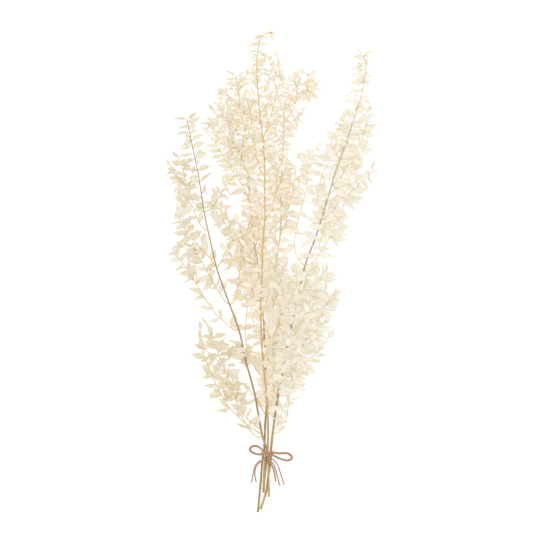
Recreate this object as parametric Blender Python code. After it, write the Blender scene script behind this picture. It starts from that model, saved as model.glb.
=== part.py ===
"""A bunch of dried ruscus: five leafy stems tied with a twine bow, lying on a table.

The table is z = 0, +Y runs along the bunch towards its tips and +X is to the right
when it is seen from above. Lengths are in metres, but the stems are drawn on a cubic grid
whose squares are counted from the point where they cross at the tie.
"""

import math
import random
from functools import partial

import bmesh
import bpy
import numpy as np
from mathutils import Vector
from mathutils.bvhtree import BVHTree

# The bunch is 0.8 m long and its drawing is 486 grid squares long.
BUNCH_LENGTH = 0.800
GRID_SQUARES = 486
SQUARE = BUNCH_LENGTH / GRID_SQUARES
ORIGIN = (6.1, 182.3)  # the middle of the bunch's box, in squares across and along from the tie

# Stems and side shoots
SHOOT_RADIUS = (0.00105, 0.00080)  # at its base and at its tip
STEM_STEP = 26  # squares between the rings of a main stem
SHOOT_BARE = 0.0135  # from the base of a side shoot to its first leaf
SHOOT_STEP = 16  # squares between the rings of a side shoot
ARCH = 0.05  # a side shoot bows up by this share of its length
FLAT = math.radians(3)  # joined faces that meet flatter than this become one

# Leaves
LEAF_LENGTH = 0.0250
LEAF_WIDTH = 0.0104
LEAF_THICKNESS = 0.0009  # at the midrib
PETIOLE = 0.00035  # half the width of the leaf where it joins its stem
STATIONS = (-0.02, 0.02, 0.38, 0.74, 1.0)  # rings along the leaf, as shares of its length
HALF_WIDTHS = (0.0, 0.0, 1.0, 0.78, 0.0)  # there, as shares of half its width
LEAF_SIZES = ((0, 120, 300, 420), (1.1, 1.06, 0.98, 0.72))  # share of LEAF_LENGTH, by squares along
BASE_SIZE, TIP_SIZE = 1.06, 0.84  # of the leaves at the base and at the tip of a shoot
SIZE_SPREAD = (0.88, 1.12)
WIDTH_SPREAD = (0.88, 1.1)
LEAF_GAP = 11.0  # squares along a stem from one leaf to the next
LEAF_ANGLE = math.radians(66)  # between a leaf and its stem
ANGLE_SPREAD = 0.22
TIP_SPREAD = 0.1  # of the angle of the last leaf on a stem
TWIST = math.radians(11)  # each leaf stands this much further round its stem
TWIST_SPREAD = 0.42
UP_SHARE = 0.8  # leaves point up or down a little less than they point sideways
ROLL_SPREAD = 0.4
BENDS = (-0.2, 0.14)  # a tip bends towards the leaf's upper side by this share of its length
PRESSED_SHARE = 0.4  # a leaf that the table presses keeps at least this share of its width
SAG = 0.18  # leaf tips hang back towards the tie by this share of the leaf
NEARBY = 0.004  # a stem's direction at a leaf is read over this far each way
TRIES = 24  # ways that a leaf may turn to keep clear of other stems
CLEARANCE = 0.00045  # between two stems' leaves

# Leaves drawn one by one
SHEET_TIE = (267, 452)  # the tie's place on the sheet, in squares from its upper left corner
SMALLEST = 33  # squares long times squares wide: smaller drawn leaves are left out
FREE_STEM = 9.0  # no other leaf grows within this many squares of a drawn one
OFF_STEM = 10.0  # a drawn leaf this many squares from every stem is left out
LONGEST = 19.0  # squares from its stem to the tip of a drawn leaf
STEEPEST = 1.5  # a drawn leaf is at most this many times as long as it looks from above
RISES = (0.35, 0.9)  # share of its free height that a drawn leaf's tip rises or falls by
DRAWN_ARCH = (0.02, 0.09)  # a drawn leaf's middle stands off its chord by this share of its length
LOWEST_TIP = 0.001

# Twine
TWINE = 0.0016
TWINE_STEP = 2.9 * TWINE
TIE_AT = -2.5  # squares along the bunch
TIE_HALF = 0.0024
TIE_CLEARANCE = 0.00038
TIE_SIDES = 16
KNOT = (0.0078, 0.0102, 0.0044)
KNOT_ABOVE = 0.0010
KNOT_AT = -2.1  # squares along the bunch
KNOT_EDGE = 0.0011
TIE_RIM = (
    (-1, 0.0), (-0.9, 0.6), (-0.67, 1.0), (-0.33, 0.55), (0, 1.0), (0.33, 0.55), (0.67, 1.0),
    (0.9, 0.6), (1, 0.0),
)  # three turns side by side: shares of TIE_HALF along, and of TWINE out from the stems

LEAF_COLOUR = (0.86, 0.76, 0.58)
TWINE_COLOUR = (0.40, 0.24, 0.16)


def shoot(lift, *points):
    """A side shoot: how far its tip rises above its base, and its points across and along."""
    return {"lift": lift, "points": points}


# Each main stem has points (across, along, up) from its cut end to its tip.
STEMS = {
    "stem_left": {
        "radius": (0.0017, 0.0009),
        "leafy_from": 272,
        "route": (
            (2, -45.5, 4.2), (1.6, -24, 4.6), (1.2, -8, 5), (0, 0, 5), (-2, 8, 5.4),
            (-4.5, 15, 6.2), (-7, 28, 8), (-10, 45, 11), (-13, 61, 14), (-18.5, 81, 17),
            (-22.5, 96, 19), (-28, 122, 22), (-39, 152, 25), (-49, 180, 27), (-53, 195, 28),
            (-59, 222, 29), (-62.5, 239, 29), (-69, 280, 28), (-74, 303, 26), (-80, 332, 22),
        ),
        "shoots": (
            shoot(-18, (-62, 239), (-68, 244), (-77, 254), (-81, 262), (-84, 282), (-90, 298)),
            shoot(-8, (-77, 254), (-80, 264), (-90, 276), (-95, 286)),
            shoot(-13, (-59, 221), (-64, 224), (-68, 230), (-74, 244), (-79, 251), (-86, 249)),
            shoot(-22, (-51, 184), (-59, 196), (-69, 207), (-79, 219), (-86, 229), (-87, 238)),
            shoot(-15, (-37, 147), (-42, 151), (-47, 158), (-59, 179), (-68, 195), (-77, 208)),
            shoot(-20, (-28, 122), (-34, 123), (-46, 133), (-53, 140), (-64, 157), (-75, 175),
                  (-86, 191), (-95, 200)),
            shoot(-10, (-20, 84), (-28, 95), (-35, 106)),
            shoot(8, (-62, 239), (-54, 245), (-48, 254), (-41, 265), (-32, 276), (-27, 280)),
            shoot(8, (-50, 184), (-45, 192), (-41, 201), (-33, 214)),
            shoot(4, (-36, 147), (-32, 152), (-28.5, 169), (-26, 190), (-24, 209), (-29, 230)),
            shoot(4, (-18.5, 82), (-20, 102), (-22, 122), (-20, 145), (-24, 167)),
            shoot(-3, (-5.5, 17), (-17, 24.5), (-29, 35), (-39, 46), (-50, 65), (-59, 86),
                  (-64, 100), (-67, 122)),
            shoot(8, (-6, 21), (-15, 29), (-23, 37), (-33, 55), (-38, 72), (-48.5, 98), (-52.5, 113),
                  (-60, 127)),
            shoot(1, (-5, 15), (-9, 14), (-15, 19), (-26, 37), (-34, 62)),
        ),
    },
    "stem_centre_left": {
        "radius": (0.0016, 0.0008),
        "leafy_from": 290,
        "route": (
            (-9.1, -61, 1.1), (-6.8, -35, 1.6), (-4.5, -8, 2.6), (-3.2, 0, 2.6), (-2.6, 9, 2.6),
            (-1.8, 29, 3.2), (-0.7, 46, 4.2), (-2, 71, 6.5), (-1.5, 96, 9), (-2.5, 111, 10.5),
            (-4, 139, 13), (-7, 167, 15), (-8.5, 185, 16), (-12, 204, 17), (-14.5, 221, 18),
            (-16.5, 247, 19), (-17.5, 272, 20), (-19.5, 302, 21), (-22, 324, 21), (-26, 344, 20),
            (-31, 375, 17),
        ),
        "shoots": (
            shoot(3, (-16, 244), (-23, 264), (-32, 276), (-41, 291), (-48, 302), (-53, 312), (-59, 318)),
            shoot(-4, (-17.5, 272), (-22, 286), (-27, 300), (-33, 309), (-36, 330)),
            shoot(-10, (-22, 287), (-31, 304), (-41, 317), (-50, 327), (-60, 334)),
            shoot(-8, (-22, 320), (-36, 330), (-45, 335), (-53, 340)),
            shoot(-3, (-36, 330), (-43, 341), (-50, 347)),
            shoot(-5, (-8, 180), (-22, 192), (-29, 207), (-41, 227), (-45, 235), (-50, 248)),
            shoot(2, (-7.5, 174), (-12, 176), (-15.5, 181), (-17, 188), (-19, 206)),
            shoot(-6, (-2.5, 111), (-9, 118), (-12, 123), (-16.5, 144)),
            shoot(1, (-2, 76), (-8, 78), (-14, 88), (-17, 98)),
            shoot(-1, (-1, 37), (-5, 43), (-9, 51), (-17, 61)),
            shoot(-8, (-12, 204), (-9, 214), (-8, 226), (-9, 240)),
        ),
    },
    "stem_centre": {
        "radius": (0.0019, 0.0008),
        "leafy_from": 338,
        "route": (
            (-3.5, -41, 6.6), (-1.8, -8, 7.4), (0.3, 0, 7.4), (1, 12, 8), (0.8, 32, 11), (0, 52, 15),
            (-2.5, 77, 20), (-5, 107, 26), (-6.3, 140, 32), (-6, 160, 35), (-5, 176, 37),
            (-4.2, 208, 41), (-1.8, 236, 43), (-2.5, 252, 44), (-2.3, 287, 45), (-4.5, 315, 44),
            (-6.5, 334, 43), (-10, 372, 39), (-10, 392, 36), (-7, 411, 33), (-2, 417, 32),
            (5, 419, 31),
        ),
        "shoots": (
            shoot(-8, (-6, 327), (-17, 333), (-27, 344), (-37, 354), (-46, 364)),
            shoot(-6, (-6.5, 150), (-11, 153.5), (-14, 159), (-16.2, 182)),
            shoot(-3, (-3, 276), (-8, 283), (-11, 290), (-13.6, 317), (-17, 340), (-21, 352)),
            shoot(2, (-1.5, 235), (2, 238), (6, 244), (9, 257), (10, 277), (8, 294)),
            shoot(-4, (-4, 312), (3, 332), (8, 352), (13, 370), (10, 394)),
        ),
    },
    "stem_centre_right": {
        "radius": (0.0017, 0.0008),
        "leafy_from": 300,
        "route": (
            (-3.5, -35, 2), (0.2, 0, 2.6), (1, 12, 3.2), (0.5, 52, 8.5), (1, 87, 12), (2.5, 117, 14),
            (4, 140, 16), (7, 168, 18), (10, 194, 20), (13.7, 222, 22), (14, 242, 23),
            (14.7, 280, 25), (16.7, 315, 26), (17, 338, 26), (19, 343, 26), (24, 351, 26),
            (33, 359.5, 25), (38, 361, 24), (44, 361, 22),
        ),
        "shoots": (
            shoot(-6, (14, 235), (19, 238.5), (24.5, 252), (26, 260), (29, 283)),
            shoot(4, (13.5, 221), (17, 224.5), (20, 238), (19, 264)),
            shoot(-4, (1, 87), (7, 100), (10, 114), (9, 130)),
            shoot(-8, (16.8, 318), (23, 328), (29, 334), (35, 340)),
            shoot(6, (2, 105), (8, 118), (12, 128), (15, 142)),
            shoot(7, (4.5, 146), (10, 158), (14, 172), (16, 186)),
            shoot(-2, (30, 357.5), (28.5, 367), (26.5, 374)),
            shoot(2, (41, 361), (39.5, 367), (41, 374)),
        ),
    },
    "stem_right": {
        "radius": (0.0018, 0.0008),
        "leafy_from": 296,
        "route": (
            (-6.5, -58, 1.2), (-0.7, -40, 1.5), (1.6, -24, 1.9), (3.7, -8, 2.6), (3.9, 0, 2.6),
            (5.8, 19, 4), (9, 43, 8), (13, 65, 11), (18, 92, 15), (22.5, 117, 18), (28, 143, 21),
            (33, 166, 23), (38.5, 188, 25), (47.5, 212, 27), (52.5, 227, 28), (59.5, 250, 29),
            (68.8, 281, 30), (79, 310, 30), (88.5, 338, 29), (96, 364, 26), (99, 388, 23),
            (96, 396, 21),
        ),
        "shoots": (
            shoot(6, (38, 186), (33, 191), (27.5, 203), (28.5, 219), (34.5, 245), (39.8, 265),
                  (42, 294), (46, 303)),
            shoot(-14, (57, 242), (53, 246), (50.5, 257), (55, 277), (62.3, 291), (70, 314), (73, 326)),
            shoot(-16, (62, 257), (67.5, 263), (74, 274), (87.5, 300), (94.5, 313), (100, 332)),
            shoot(-20, (38.5, 187), (44, 188), (49, 193), (60, 210), (70, 233), (81, 254), (95, 271),
                  (107, 281)),
            shoot(8, (30, 152), (38, 167), (48.5, 185), (51, 200), (59, 237), (67, 252)),
            shoot(-6, (10.5, 52), (14.5, 66), (18, 73), (31, 81), (42, 92), (53, 103), (61, 114)),
            shoot(6, (5.7, 18), (14, 21), (19.5, 32), (23, 59), (30, 92), (36, 106), (46.5, 132),
                  (53, 152)),
            shoot(-5, (36, 106), (48, 127), (57, 141), (65, 156)),
            shoot(6, (20, 102), (24, 109), (31, 124), (41, 145), (51, 168), (57, 176)),
            shoot(-3, (10.5, 52), (10, 64), (14, 89), (21, 114), (23.5, 140), (23, 152), (17, 179),
                  (12, 189)),
            shoot(0, (5.8, 19), (13.7, 35.5), (16, 44)),
        ),
    },
}

# The bow's strands, as (across, along, up) in grid squares from the tie.
STRANDS = {
    "bow_left_outer": (
        (-2.6, 0.4, 10.6), (-4.2, 1.6, 10.2), (-6.4, 4, 7.4), (-9.4, 5.8, 3.2), (-12.6, 6.2, 0.9),
        (-15.6, 5.4, 0.6), (-17.8, 3, 0.6), (-17.2, 0, 0.6), (-14.2, -2.2, 0.7), (-10.8, -3.2, 2.6),
        (-7.6, -3.4, 6.2), (-5, -3.3, 9.4), (-2.6, -3.2, 10.6),
    ),
    "bow_left_inner": (
        (-2.6, -0.8, 10.6), (-4.3, 0, 10.2), (-6.8, 2.3, 7.2), (-9.6, 3.9, 3.3), (-12.6, 4.4, 0.9),
        (-14.8, 3.8, 0.6), (-15.8, 2.2, 0.6), (-14.8, 0.3, 0.6), (-12.4, -0.9, 1.2),
        (-9.8, -1.5, 3.8), (-7, -1.8, 7.4), (-4.8, -2, 9.8), (-2.6, -2, 10.6),
    ),
    "bow_right_outer": (
        (2.6, 0.4, 10.6), (4.4, 0.4, 10.2), (7.4, -0.4, 8), (11.2, -0.8, 4.2), (15, -0.6, 1.2),
        (19, 0, 0.6), (23, -0.8, 0.6), (25.6, -3.4, 0.6), (25, -6.6, 0.6), (21.4, -8.6, 0.6),
        (17, -8.6, 0.7), (12.8, -7.4, 3), (9, -5.6, 6.4), (5.4, -3.8, 9.6), (2.6, -3.2, 10.6),
    ),
    "bow_right_inner": (
        (2.6, -0.8, 10.6), (4.6, -1, 10.2), (7.8, -1.9, 7.8), (11.6, -2.6, 4), (15.2, -2.4, 1.2),
        (19, -2, 0.6), (22, -2.6, 0.6), (23.4, -4.2, 0.6), (22.6, -6, 0.6), (19.8, -6.8, 0.6),
        (16.6, -6.7, 0.9), (12.8, -5.6, 3.4), (9, -4, 6.8), (5.4, -2.4, 9.8), (2.6, -2, 10.6),
    ),
    "tail_left_outer": (
        (-1.9, -5.9, 10.2), (-3.2, -7, 9.8), (-5.6, -8.6, 8), (-8.4, -10.2, 4.6), (-11, -12.4, 1.4),
        (-12.8, -16, 0.6), (-13.8, -20.5, 0.6), (-14.4, -25, 0.6), (-15.8, -30.5, 0.6),
    ),
    "tail_left_inner": (
        (-0.7, -5.9, 10.2), (-2, -7.6, 9.9), (-4.6, -9.8, 8.2), (-7.2, -12, 4.8), (-9.4, -14.6, 1.4),
        (-10.9, -18, 0.6), (-11.8, -22, 0.6), (-11.6, -26, 0.6), (-11, -29.5, 0.6),
    ),
    "tail_right_inner": (
        (0.5, -5.9, 10.2), (1.2, -8, 10), (3.4, -11.4, 8.4), (5.4, -15, 4.6), (6.6, -18.4, 1.2),
        (7.4, -21.6, 0.6), (8, -25, 0.6), (8.6, -29, 0.6),
    ),
    "tail_right_middle": (
        (1.7, -5.9, 10.2), (3, -8, 9.9), (5.8, -11, 8), (8, -14, 4.4), (9.4, -17.6, 1.2),
        (10.2, -21.5, 0.6), (11.2, -26, 0.6), (12.5, -33.5, 0.6),
    ),
    "tail_right_outer": (
        (2.65, -4.4, 10.4), (4.4, -6.4, 10), (7.6, -9.6, 8), (10.2, -12.6, 4.4), (11.8, -16.4, 1.2),
        (13, -20.5, 0.6), (15, -26.4, 0.6), (17, -32.5, 0.6),
    ),
}


# Leaves that were drawn one by one: across and along the sheet at the root and at the tip, and
# the width as seen from above, in squares from the sheet's upper left corner.
DRAWN = (
    # The left stem, on its left and on its right
    (185, 120, 172.5, 119, 4), (187, 122, 175, 125, 2), (187, 125, 177, 128.5, 4),
    (189, 133, 173.5, 135.5, 4.5), (190, 138, 184, 133, 4), (193, 146, 176, 150, 3.5),
    (190, 139, 181, 147, 6), (194, 154, 177.5, 157.5, 3), (195, 160, 188, 161, 2),
    (197, 171, 184, 172, 6), (199, 176, 187, 180, 3.5), (200, 181, 190, 187, 6),
    (203, 197, 193, 200, 7), (187, 119, 198, 114, 2), (188, 123, 201, 117, 5),
    (189, 129, 197, 124, 5.5), (189, 134, 198, 130, 3), (192, 141, 206, 134.5, 4),
    (193, 148, 205, 142.5, 6), (194, 156, 205, 150, 2.5), (195, 159, 209, 153.5, 7),
    (198, 164, 202, 161, 2), (197.5, 171, 212, 166, 5), (200, 182, 213.5, 172, 5.5),
    (203, 194, 206, 183, 4),
    # Its shoot to the right
    (213, 204, 203, 202, 5), (213, 206, 205, 209, 4), (218, 198, 210, 186.5, 4.5),
    (217, 192, 216, 186, 2), (214, 204, 212, 195, 4), (219, 202, 226, 216, 5),
    (217, 207, 221, 212, 4), (219, 198, 229, 200, 2.5), (227, 191, 232, 196, 3),
    (226, 187, 222, 177, 4.5), (229, 184, 225, 179, 2.5), (229, 185, 238, 187, 4),
    (222, 193, 221, 189, 3),
    # Its shoots to the upper left
    (178, 158, 172, 151, 1.5), (181, 165, 170, 160, 3.5), (183, 166, 186, 158, 4),
    (183, 169, 192, 164, 2.5), (176, 176, 169, 166, 6), (177, 177, 166.5, 177, 2),
    (186, 181, 169.5, 185, 5), (185, 184, 176, 187, 4), (182, 176, 176, 171, 4),
    (182, 178, 183, 170, 3), (186, 194, 174.5, 194.5, 5), (190, 198, 184, 190, 5),
    (192, 195, 188, 184, 4), (189, 203, 183.5, 196, 5), (190, 206, 180, 202, 5),
    (181, 210, 175, 201, 3.5), (180, 215, 173, 214, 6), (191, 208, 181, 218, 7),
    (197, 220, 187, 217, 4), (199, 224, 201, 211, 3.5),
    # Its shoots to the left
    (181, 223, 168, 226, 2), (184, 224, 189, 219, 3), (183, 228, 174.5, 230, 5),
    (186, 229, 192, 223, 5), (190, 231, 194, 224, 5), (185, 234, 176, 233, 5),
    (187, 239, 176, 243, 6), (192, 238, 197, 232, 5), (195, 241, 202.5, 231, 5),
    (192, 244, 182, 246, 5), (201, 249, 206.5, 234, 5), (196, 249, 188, 246, 4),
    (198, 253, 187, 252, 4), (203, 256, 209, 251, 4), (202, 259, 206, 252, 5),
    (201, 262, 190, 256, 5), (201, 264, 186, 262, 5), (208, 270, 213, 262, 6),
    (207, 273, 190, 270, 4), (209, 277, 198.5, 284, 4), (211, 284, 204, 284, 4),
    (211, 284, 203, 292, 5), (211, 274, 217, 270, 4), (209, 274, 215, 281, 3),
    (217, 288, 219, 278, 4), (217, 290, 211, 290, 2.5), (222, 293, 227, 281, 4),
    (174, 256, 166.5, 256, 2), (176, 256, 169, 246, 3), (178, 257, 180, 247, 3),
    (180, 260, 169, 261, 4.5), (181, 261, 185, 252, 4.5), (186, 267, 174, 271, 3),
    (188, 270, 191, 260, 5), (189, 275, 177, 274, 5.5), (192, 276, 196, 271, 4),
    (194, 281, 187, 275, 3), (204, 297, 187, 288, 5), (204, 299, 193, 301.5, 2.5),
    (208, 303, 214, 309, 2.5), (211, 309, 197, 306, 5), (221, 319, 219, 307, 4),
    (218, 318, 207, 321.5, 4),
    # Its low shoots
    (201, 345, 199, 326, 4), (202, 350, 194, 344, 5), (201, 348, 201, 337, 4),
    (204, 357, 190, 354, 6), (206, 362, 202, 357, 5), (207, 371, 200, 366.5, 6),
    (211, 378, 201.5, 379, 5), (219, 396, 207.5, 396.5, 6), (218, 392, 213, 389, 2),
    (213, 337, 205, 322, 4.5), (214, 338, 208, 329, 2.5), (214, 339, 201, 336.5, 3.5),
    (214, 342, 204, 343, 4), (215, 338, 227, 334, 4.5), (217, 345, 227, 337, 3.5),
    (216, 348, 219, 339, 3), (218, 348, 232, 349, 6), (215, 350, 203, 346, 5),
    (219, 356, 205, 359, 6), (220, 356, 231, 352, 5), (234, 353, 231, 344, 3),
    (236, 353, 237, 341, 3.5), (231, 375, 241, 369, 8), (232, 375, 241, 377, 3),
    (229, 386, 248, 383, 5), (231, 390, 236, 385, 2), (231, 383, 239, 381, 5),
    (234, 395, 245, 393, 3.5), (236, 403, 249, 391, 5), (229, 410, 219, 398, 4),
    (229, 411, 215, 411.5, 2.3), (241, 415, 246, 406, 6), (238, 413, 230, 404, 4),
    (249, 418, 251, 408, 2.5), (250, 427, 254, 418, 3), (244, 429, 234.5, 424, 4),
    (249, 432, 243, 427, 2),
    # The tip of the tallest stem
    (262, 38, 252.5, 40, 3), (266, 34, 272.5, 28, 4), (272, 32.5, 281.5, 29, 1.3),
    (272, 34, 279.5, 36, 1.3), (269, 33, 273.5, 42, 2.5), (262, 39, 270, 38, 2.5),
    (261, 43, 265, 38, 2.5), (259, 45, 253, 43, 2.5), (259, 48, 247, 48.5, 3.5),
    (259, 47.5, 266, 48, 3.5), (266, 48, 271, 51, 1), (257.5, 55, 244.5, 55, 2.5),
    (258, 54, 269, 59, 3), (258, 55, 265, 55, 1.5), (257, 60, 248, 59.5, 2),
    (256.5, 62, 251, 62, 2), (257, 65, 264, 62, 4), (257, 68, 263, 65, 3),
    (256, 68, 245, 71, 3), (256.5, 75, 250, 75, 2.5), (266, 71, 264, 62, 4),
    (269, 70, 267, 60, 3), (276, 69, 278, 59, 4), (277, 68, 282, 66, 1),
    (276, 74, 284, 72.5, 4), (279, 75, 283, 86, 3), (257, 82, 247, 86, 4),
    # The tip of the stem on its left, and the shoots below that
    (236, 75, 224, 70.5, 1.6), (236, 78, 223, 78.5, 2.5), (236, 75.5, 246, 72, 1.5),
    (236, 80, 249, 75.5, 2), (237, 83, 222, 83.5, 4.5), (237, 87, 225, 83, 4),
    (238, 84, 249, 78.5, 3), (239, 92, 246, 84, 4), (222, 90, 219.5, 80, 2),
    (222, 92, 213.5, 91.5, 2.2), (223, 93, 217, 97, 2.5), (226, 97, 219, 100, 3),
    (223, 93, 225, 88, 2), (217, 105, 211, 101.5, 2), (215, 110, 207, 105, 2.8),
    (222, 107, 217, 102.5, 2.5), (218, 112, 212, 114.5, 2), (213, 121, 199, 124, 3),
    (213, 121, 205, 117, 2), (214, 122, 206.5, 128, 2.5), (216, 126, 210, 130.5, 2),
    (218, 123, 219, 116, 3), (220, 131, 207.5, 133, 3.5), (222, 134, 213, 136, 4),
    (215, 143, 220, 139, 2), (217, 147, 204.5, 147, 3.5), (219, 152, 207, 151, 4.5),
    (222, 156, 211, 158, 4), (226, 163, 215, 162, 2.5), (229, 168, 217, 166, 5),
    (235, 177, 221, 176, 6),
    # The stem right of the middle, whose tip arches over
    (296, 84, 293, 74.5, 2.5), (293, 88, 296, 82, 3), (301, 90, 301, 77, 5),
    (308, 89, 305, 79, 4), (308, 88, 310, 78, 4), (307, 78, 314.5, 71, 2),
    (309, 80, 316, 80, 1.5), (312, 89, 318, 83, 3), (313, 91, 319, 101.5, 2.5),
    (309, 93, 313.5, 102, 4), (305, 92, 307, 103, 4), (302, 93, 304, 104, 4),
    (298, 96, 301, 105, 4), (299, 109, 308, 105.5, 3), (285, 90, 294, 95, 4),
    (291, 99, 283, 96, 3), (287, 107, 283, 101, 3), (291, 107, 294.5, 118, 4),
    (297, 108, 296, 117, 4), (298, 117, 307, 114, 2.5), (295, 118, 300, 120, 2),
    (294, 121, 305, 125.5, 3), (297, 122, 298.5, 129, 2.5), (289, 129, 295.5, 136, 3),
    (286, 137, 295.5, 138, 4), (284, 146, 293, 145, 5), (285, 152, 291, 149, 3),
    (287, 167, 295, 163, 2.5), (288, 169, 299, 169, 3), (286, 176, 296, 173, 3),
    # The thin shoot between it and the right stem
    (304, 159, 298, 153, 4), (307, 158, 305, 150, 3), (308, 158, 310, 148, 3),
    (312, 155, 316, 149, 3), (312, 160, 314, 152, 5), (308, 166, 296, 158, 6),
    (327, 159, 317, 156, 7.5), (325, 166, 310, 163.5, 6), (320, 174, 310, 172, 6),
    (307, 175, 298, 170, 5), (297, 181, 309.5, 178, 4), (307, 183, 298, 184, 6),
    (293.5, 191, 291, 179, 3), (304.5, 195, 293.5, 188, 6), (295, 199, 307, 203, 7),
    (307, 190, 317, 196, 6), (317, 195, 317.5, 184, 5), (313, 196, 310.5, 205, 3),
    (318, 197, 323, 198, 2), (320, 185, 328, 190, 2), (297, 174, 285, 179, 2.5),
    (287, 179, 295, 181, 3), (297, 169, 285, 173, 3), (285, 169, 294, 164, 3),
    (301, 212, 310, 218, 5), (298, 218, 290, 213, 4), (297, 223, 289.5, 226, 6),
    (295, 233, 280, 232, 6.5), (295, 234, 305, 235, 3.5), (293, 246, 281, 258, 5),
    (293, 248, 287.5, 244, 3),
    # The tip of the right stem
    (361.5, 54, 357.5, 48, 1.8), (362, 56, 351, 58.5, 4), (363, 56, 370, 52.5, 3),
    (371, 52, 375.5, 51.5, 1.3), (366, 57, 369, 57, 1), (366, 61, 369, 61, 2.5),
    (369, 62, 371.5, 68, 2.5), (366, 63, 349.5, 71.5, 4.5), (362, 64, 363, 61, 1),
    (366, 70, 356, 69, 2), (366, 76, 350.5, 76.5, 8), (364, 83, 355, 80, 3),
    (356, 80, 355, 86, 2), (366, 72, 378.5, 81, 3.5), (366, 75, 369, 75, 3),
    (365, 82, 370, 82, 3), (364.5, 84, 370, 87.5, 3), (362, 92, 344.5, 99, 4),
    (361, 97, 371, 105, 5), (358, 102, 341, 109, 6.5), (355, 111, 339, 121, 5),
    (360, 106, 366, 105, 3.5), (363, 108, 369, 113, 3), (358, 115, 368, 111, 4),
    (366, 115, 377.5, 112.5, 2.8), (360, 121, 368, 125, 5), (365, 130, 380.5, 125, 4),
    (365, 135, 375.5, 137, 6), (362, 139, 370, 146, 5), (359, 149, 369, 147, 6),
    # Its shoots
    (340, 124, 334, 122, 3), (341, 130, 335, 131, 4), (337, 136, 324.5, 133, 5),
    (337, 140, 338, 137, 2), (342, 130, 352, 124, 3), (350, 140, 341, 131, 6),
    (350, 136, 362, 134, 8), (352, 129, 352, 121, 3), (333, 151, 325, 143, 6),
    (333, 150, 331, 141, 4), (334, 148, 337, 140, 3), (347, 148, 344, 142, 5),
    (334, 158, 329, 154, 4), (335, 158, 338, 150, 4), (341, 159, 359, 170, 6),
    (341, 158, 357, 155, 7), (355, 154, 363, 164, 6), (348, 168, 360, 179, 6),
    (346, 170, 350, 182, 6), (339, 181, 352, 181, 3), (340, 182, 349, 190, 7),
    (352, 179, 359, 182, 3), (361, 180, 364, 176, 3), (364, 181, 370, 192, 4),
    (369, 176, 373, 184, 2), (367, 174, 365, 171, 3), (368, 173, 371, 171, 3),
    (374, 172, 377, 159.5, 4), (374, 172, 380.5, 172, 1.8), (357, 185, 364, 195, 5),
    (355, 190, 347, 188, 5), (353, 195, 364, 205, 4.5), (335, 201, 347, 198, 6),
    (331, 204, 324, 195, 6), (324, 175, 327, 182, 3), (344, 203, 359, 200, 6),
    (347, 204, 356, 212, 4), (342, 209, 357, 224, 6), (337, 212, 334, 204, 6),
    (334, 210, 327, 210, 4), (333, 211, 326, 215, 6), (328, 219, 341, 224, 5),
    (338, 227, 354, 224, 6.5), (323, 226, 339, 229.5, 6), (323, 233, 335, 238, 8),
    (333, 238, 339, 249, 4), (321, 223, 306, 219, 6.5), (319, 243, 313, 235, 4),
    (319, 247, 330, 250, 5), (318, 248, 312, 246, 4), (309, 241, 298, 253, 3.5),
    (316, 255, 301, 258, 5), (319, 255, 337, 258, 6), (317, 267, 314, 278, 7),
    (318, 266, 323, 265, 2), (324, 277, 323, 262, 2), (326, 277, 327, 260, 2),
    (329, 276, 338.5, 276, 1.6), (325, 283, 339, 279, 5), (327, 289, 337, 287, 3),
    (333, 295, 343.5, 292, 4.5), (333, 297, 338, 301, 4), (330, 304.5, 336.5, 310, 5),
    (300, 275, 290, 265, 6), (305, 271, 303, 283, 6), (330, 287, 312, 289, 3),
    (328, 305, 313, 297, 8), (328, 298, 314, 292, 6), (308, 303, 300, 290, 4),
    # Its low shoots
    (321, 319, 338.5, 325, 8), (320, 321, 324, 325, 3), (318, 325, 325, 329, 4),
    (304, 320, 312, 313, 5), (300, 330, 311, 328, 4), (309, 330, 321, 332, 5),
    (311, 336, 328, 338, 6), (316, 351, 329.5, 338, 5), (314, 352, 311, 337, 4),
    (316, 350, 326, 349, 3), (316, 352, 329, 358, 3), (313, 357, 325, 358, 2),
    (298, 335, 320, 337, 5), (310, 362, 322.5, 361.5, 3.5), (303, 362, 316.5, 375, 5),
    (299, 371, 310, 375.5, 3), (297, 372, 308, 380.5, 5), (294, 381, 306, 385, 5),
    (291, 400, 305, 395.5, 2.5), (285, 409, 296, 402, 4.5), (287, 410, 287, 420, 3.5),
    (275, 427, 288, 421, 5), (281, 432, 285, 426, 2), (276, 402, 279, 413, 5),
    (281, 400, 285, 409, 4), (287, 391, 287, 405, 3), (280, 379, 284, 391, 7),
    (297, 369, 284, 372, 8), (288, 361, 300, 358, 3), (271, 400, 276, 410, 4),
)


def metres(points):
    """Grid points in metres from the origin, which is below the middle of the bunch."""
    return (np.array(points, float) - (*ORIGIN, 0)) * SQUARE


def along_of(squares):
    """How far along the bunch, in metres from the origin, a count of squares from the tie is."""
    return (squares - ORIGIN[1]) * SQUARE


def smooth(points, per_span=8):
    """A Catmull-Rom curve through the points."""
    p = np.asarray(points, float)
    ends = np.vstack([2 * p[0] - p[1], p, 2 * p[-1] - p[-2]])
    out = []
    for a, b, c, d in zip(ends[:-3], ends[1:-2], ends[2:-1], ends[3:]):
        for t in np.arange(per_span) / per_span:
            out.append(0.5 * (2 * b + (c - a) * t + (2 * a - 5 * b + 4 * c - d) * t**2
                              + (3 * b - a - 3 * c + d) * t**3))
    out.append(p[-1])
    return np.array(out)


def lengths(line):
    """How far along the line each of its points is."""
    return np.concatenate([[0], np.cumsum(np.linalg.norm(np.diff(line, axis=0), axis=1))])


def at_length(line, where):
    """The line's points at the given distances along it."""
    along = lengths(line)
    return np.stack([np.interp(where, along, line[:, k]) for k in range(3)], axis=-1)


def spaced(line, step):
    """The line again, with points about one step apart."""
    total = lengths(line)[-1]
    return at_length(line, np.linspace(0, total, max(3, round(total / step) + 1)))


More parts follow.
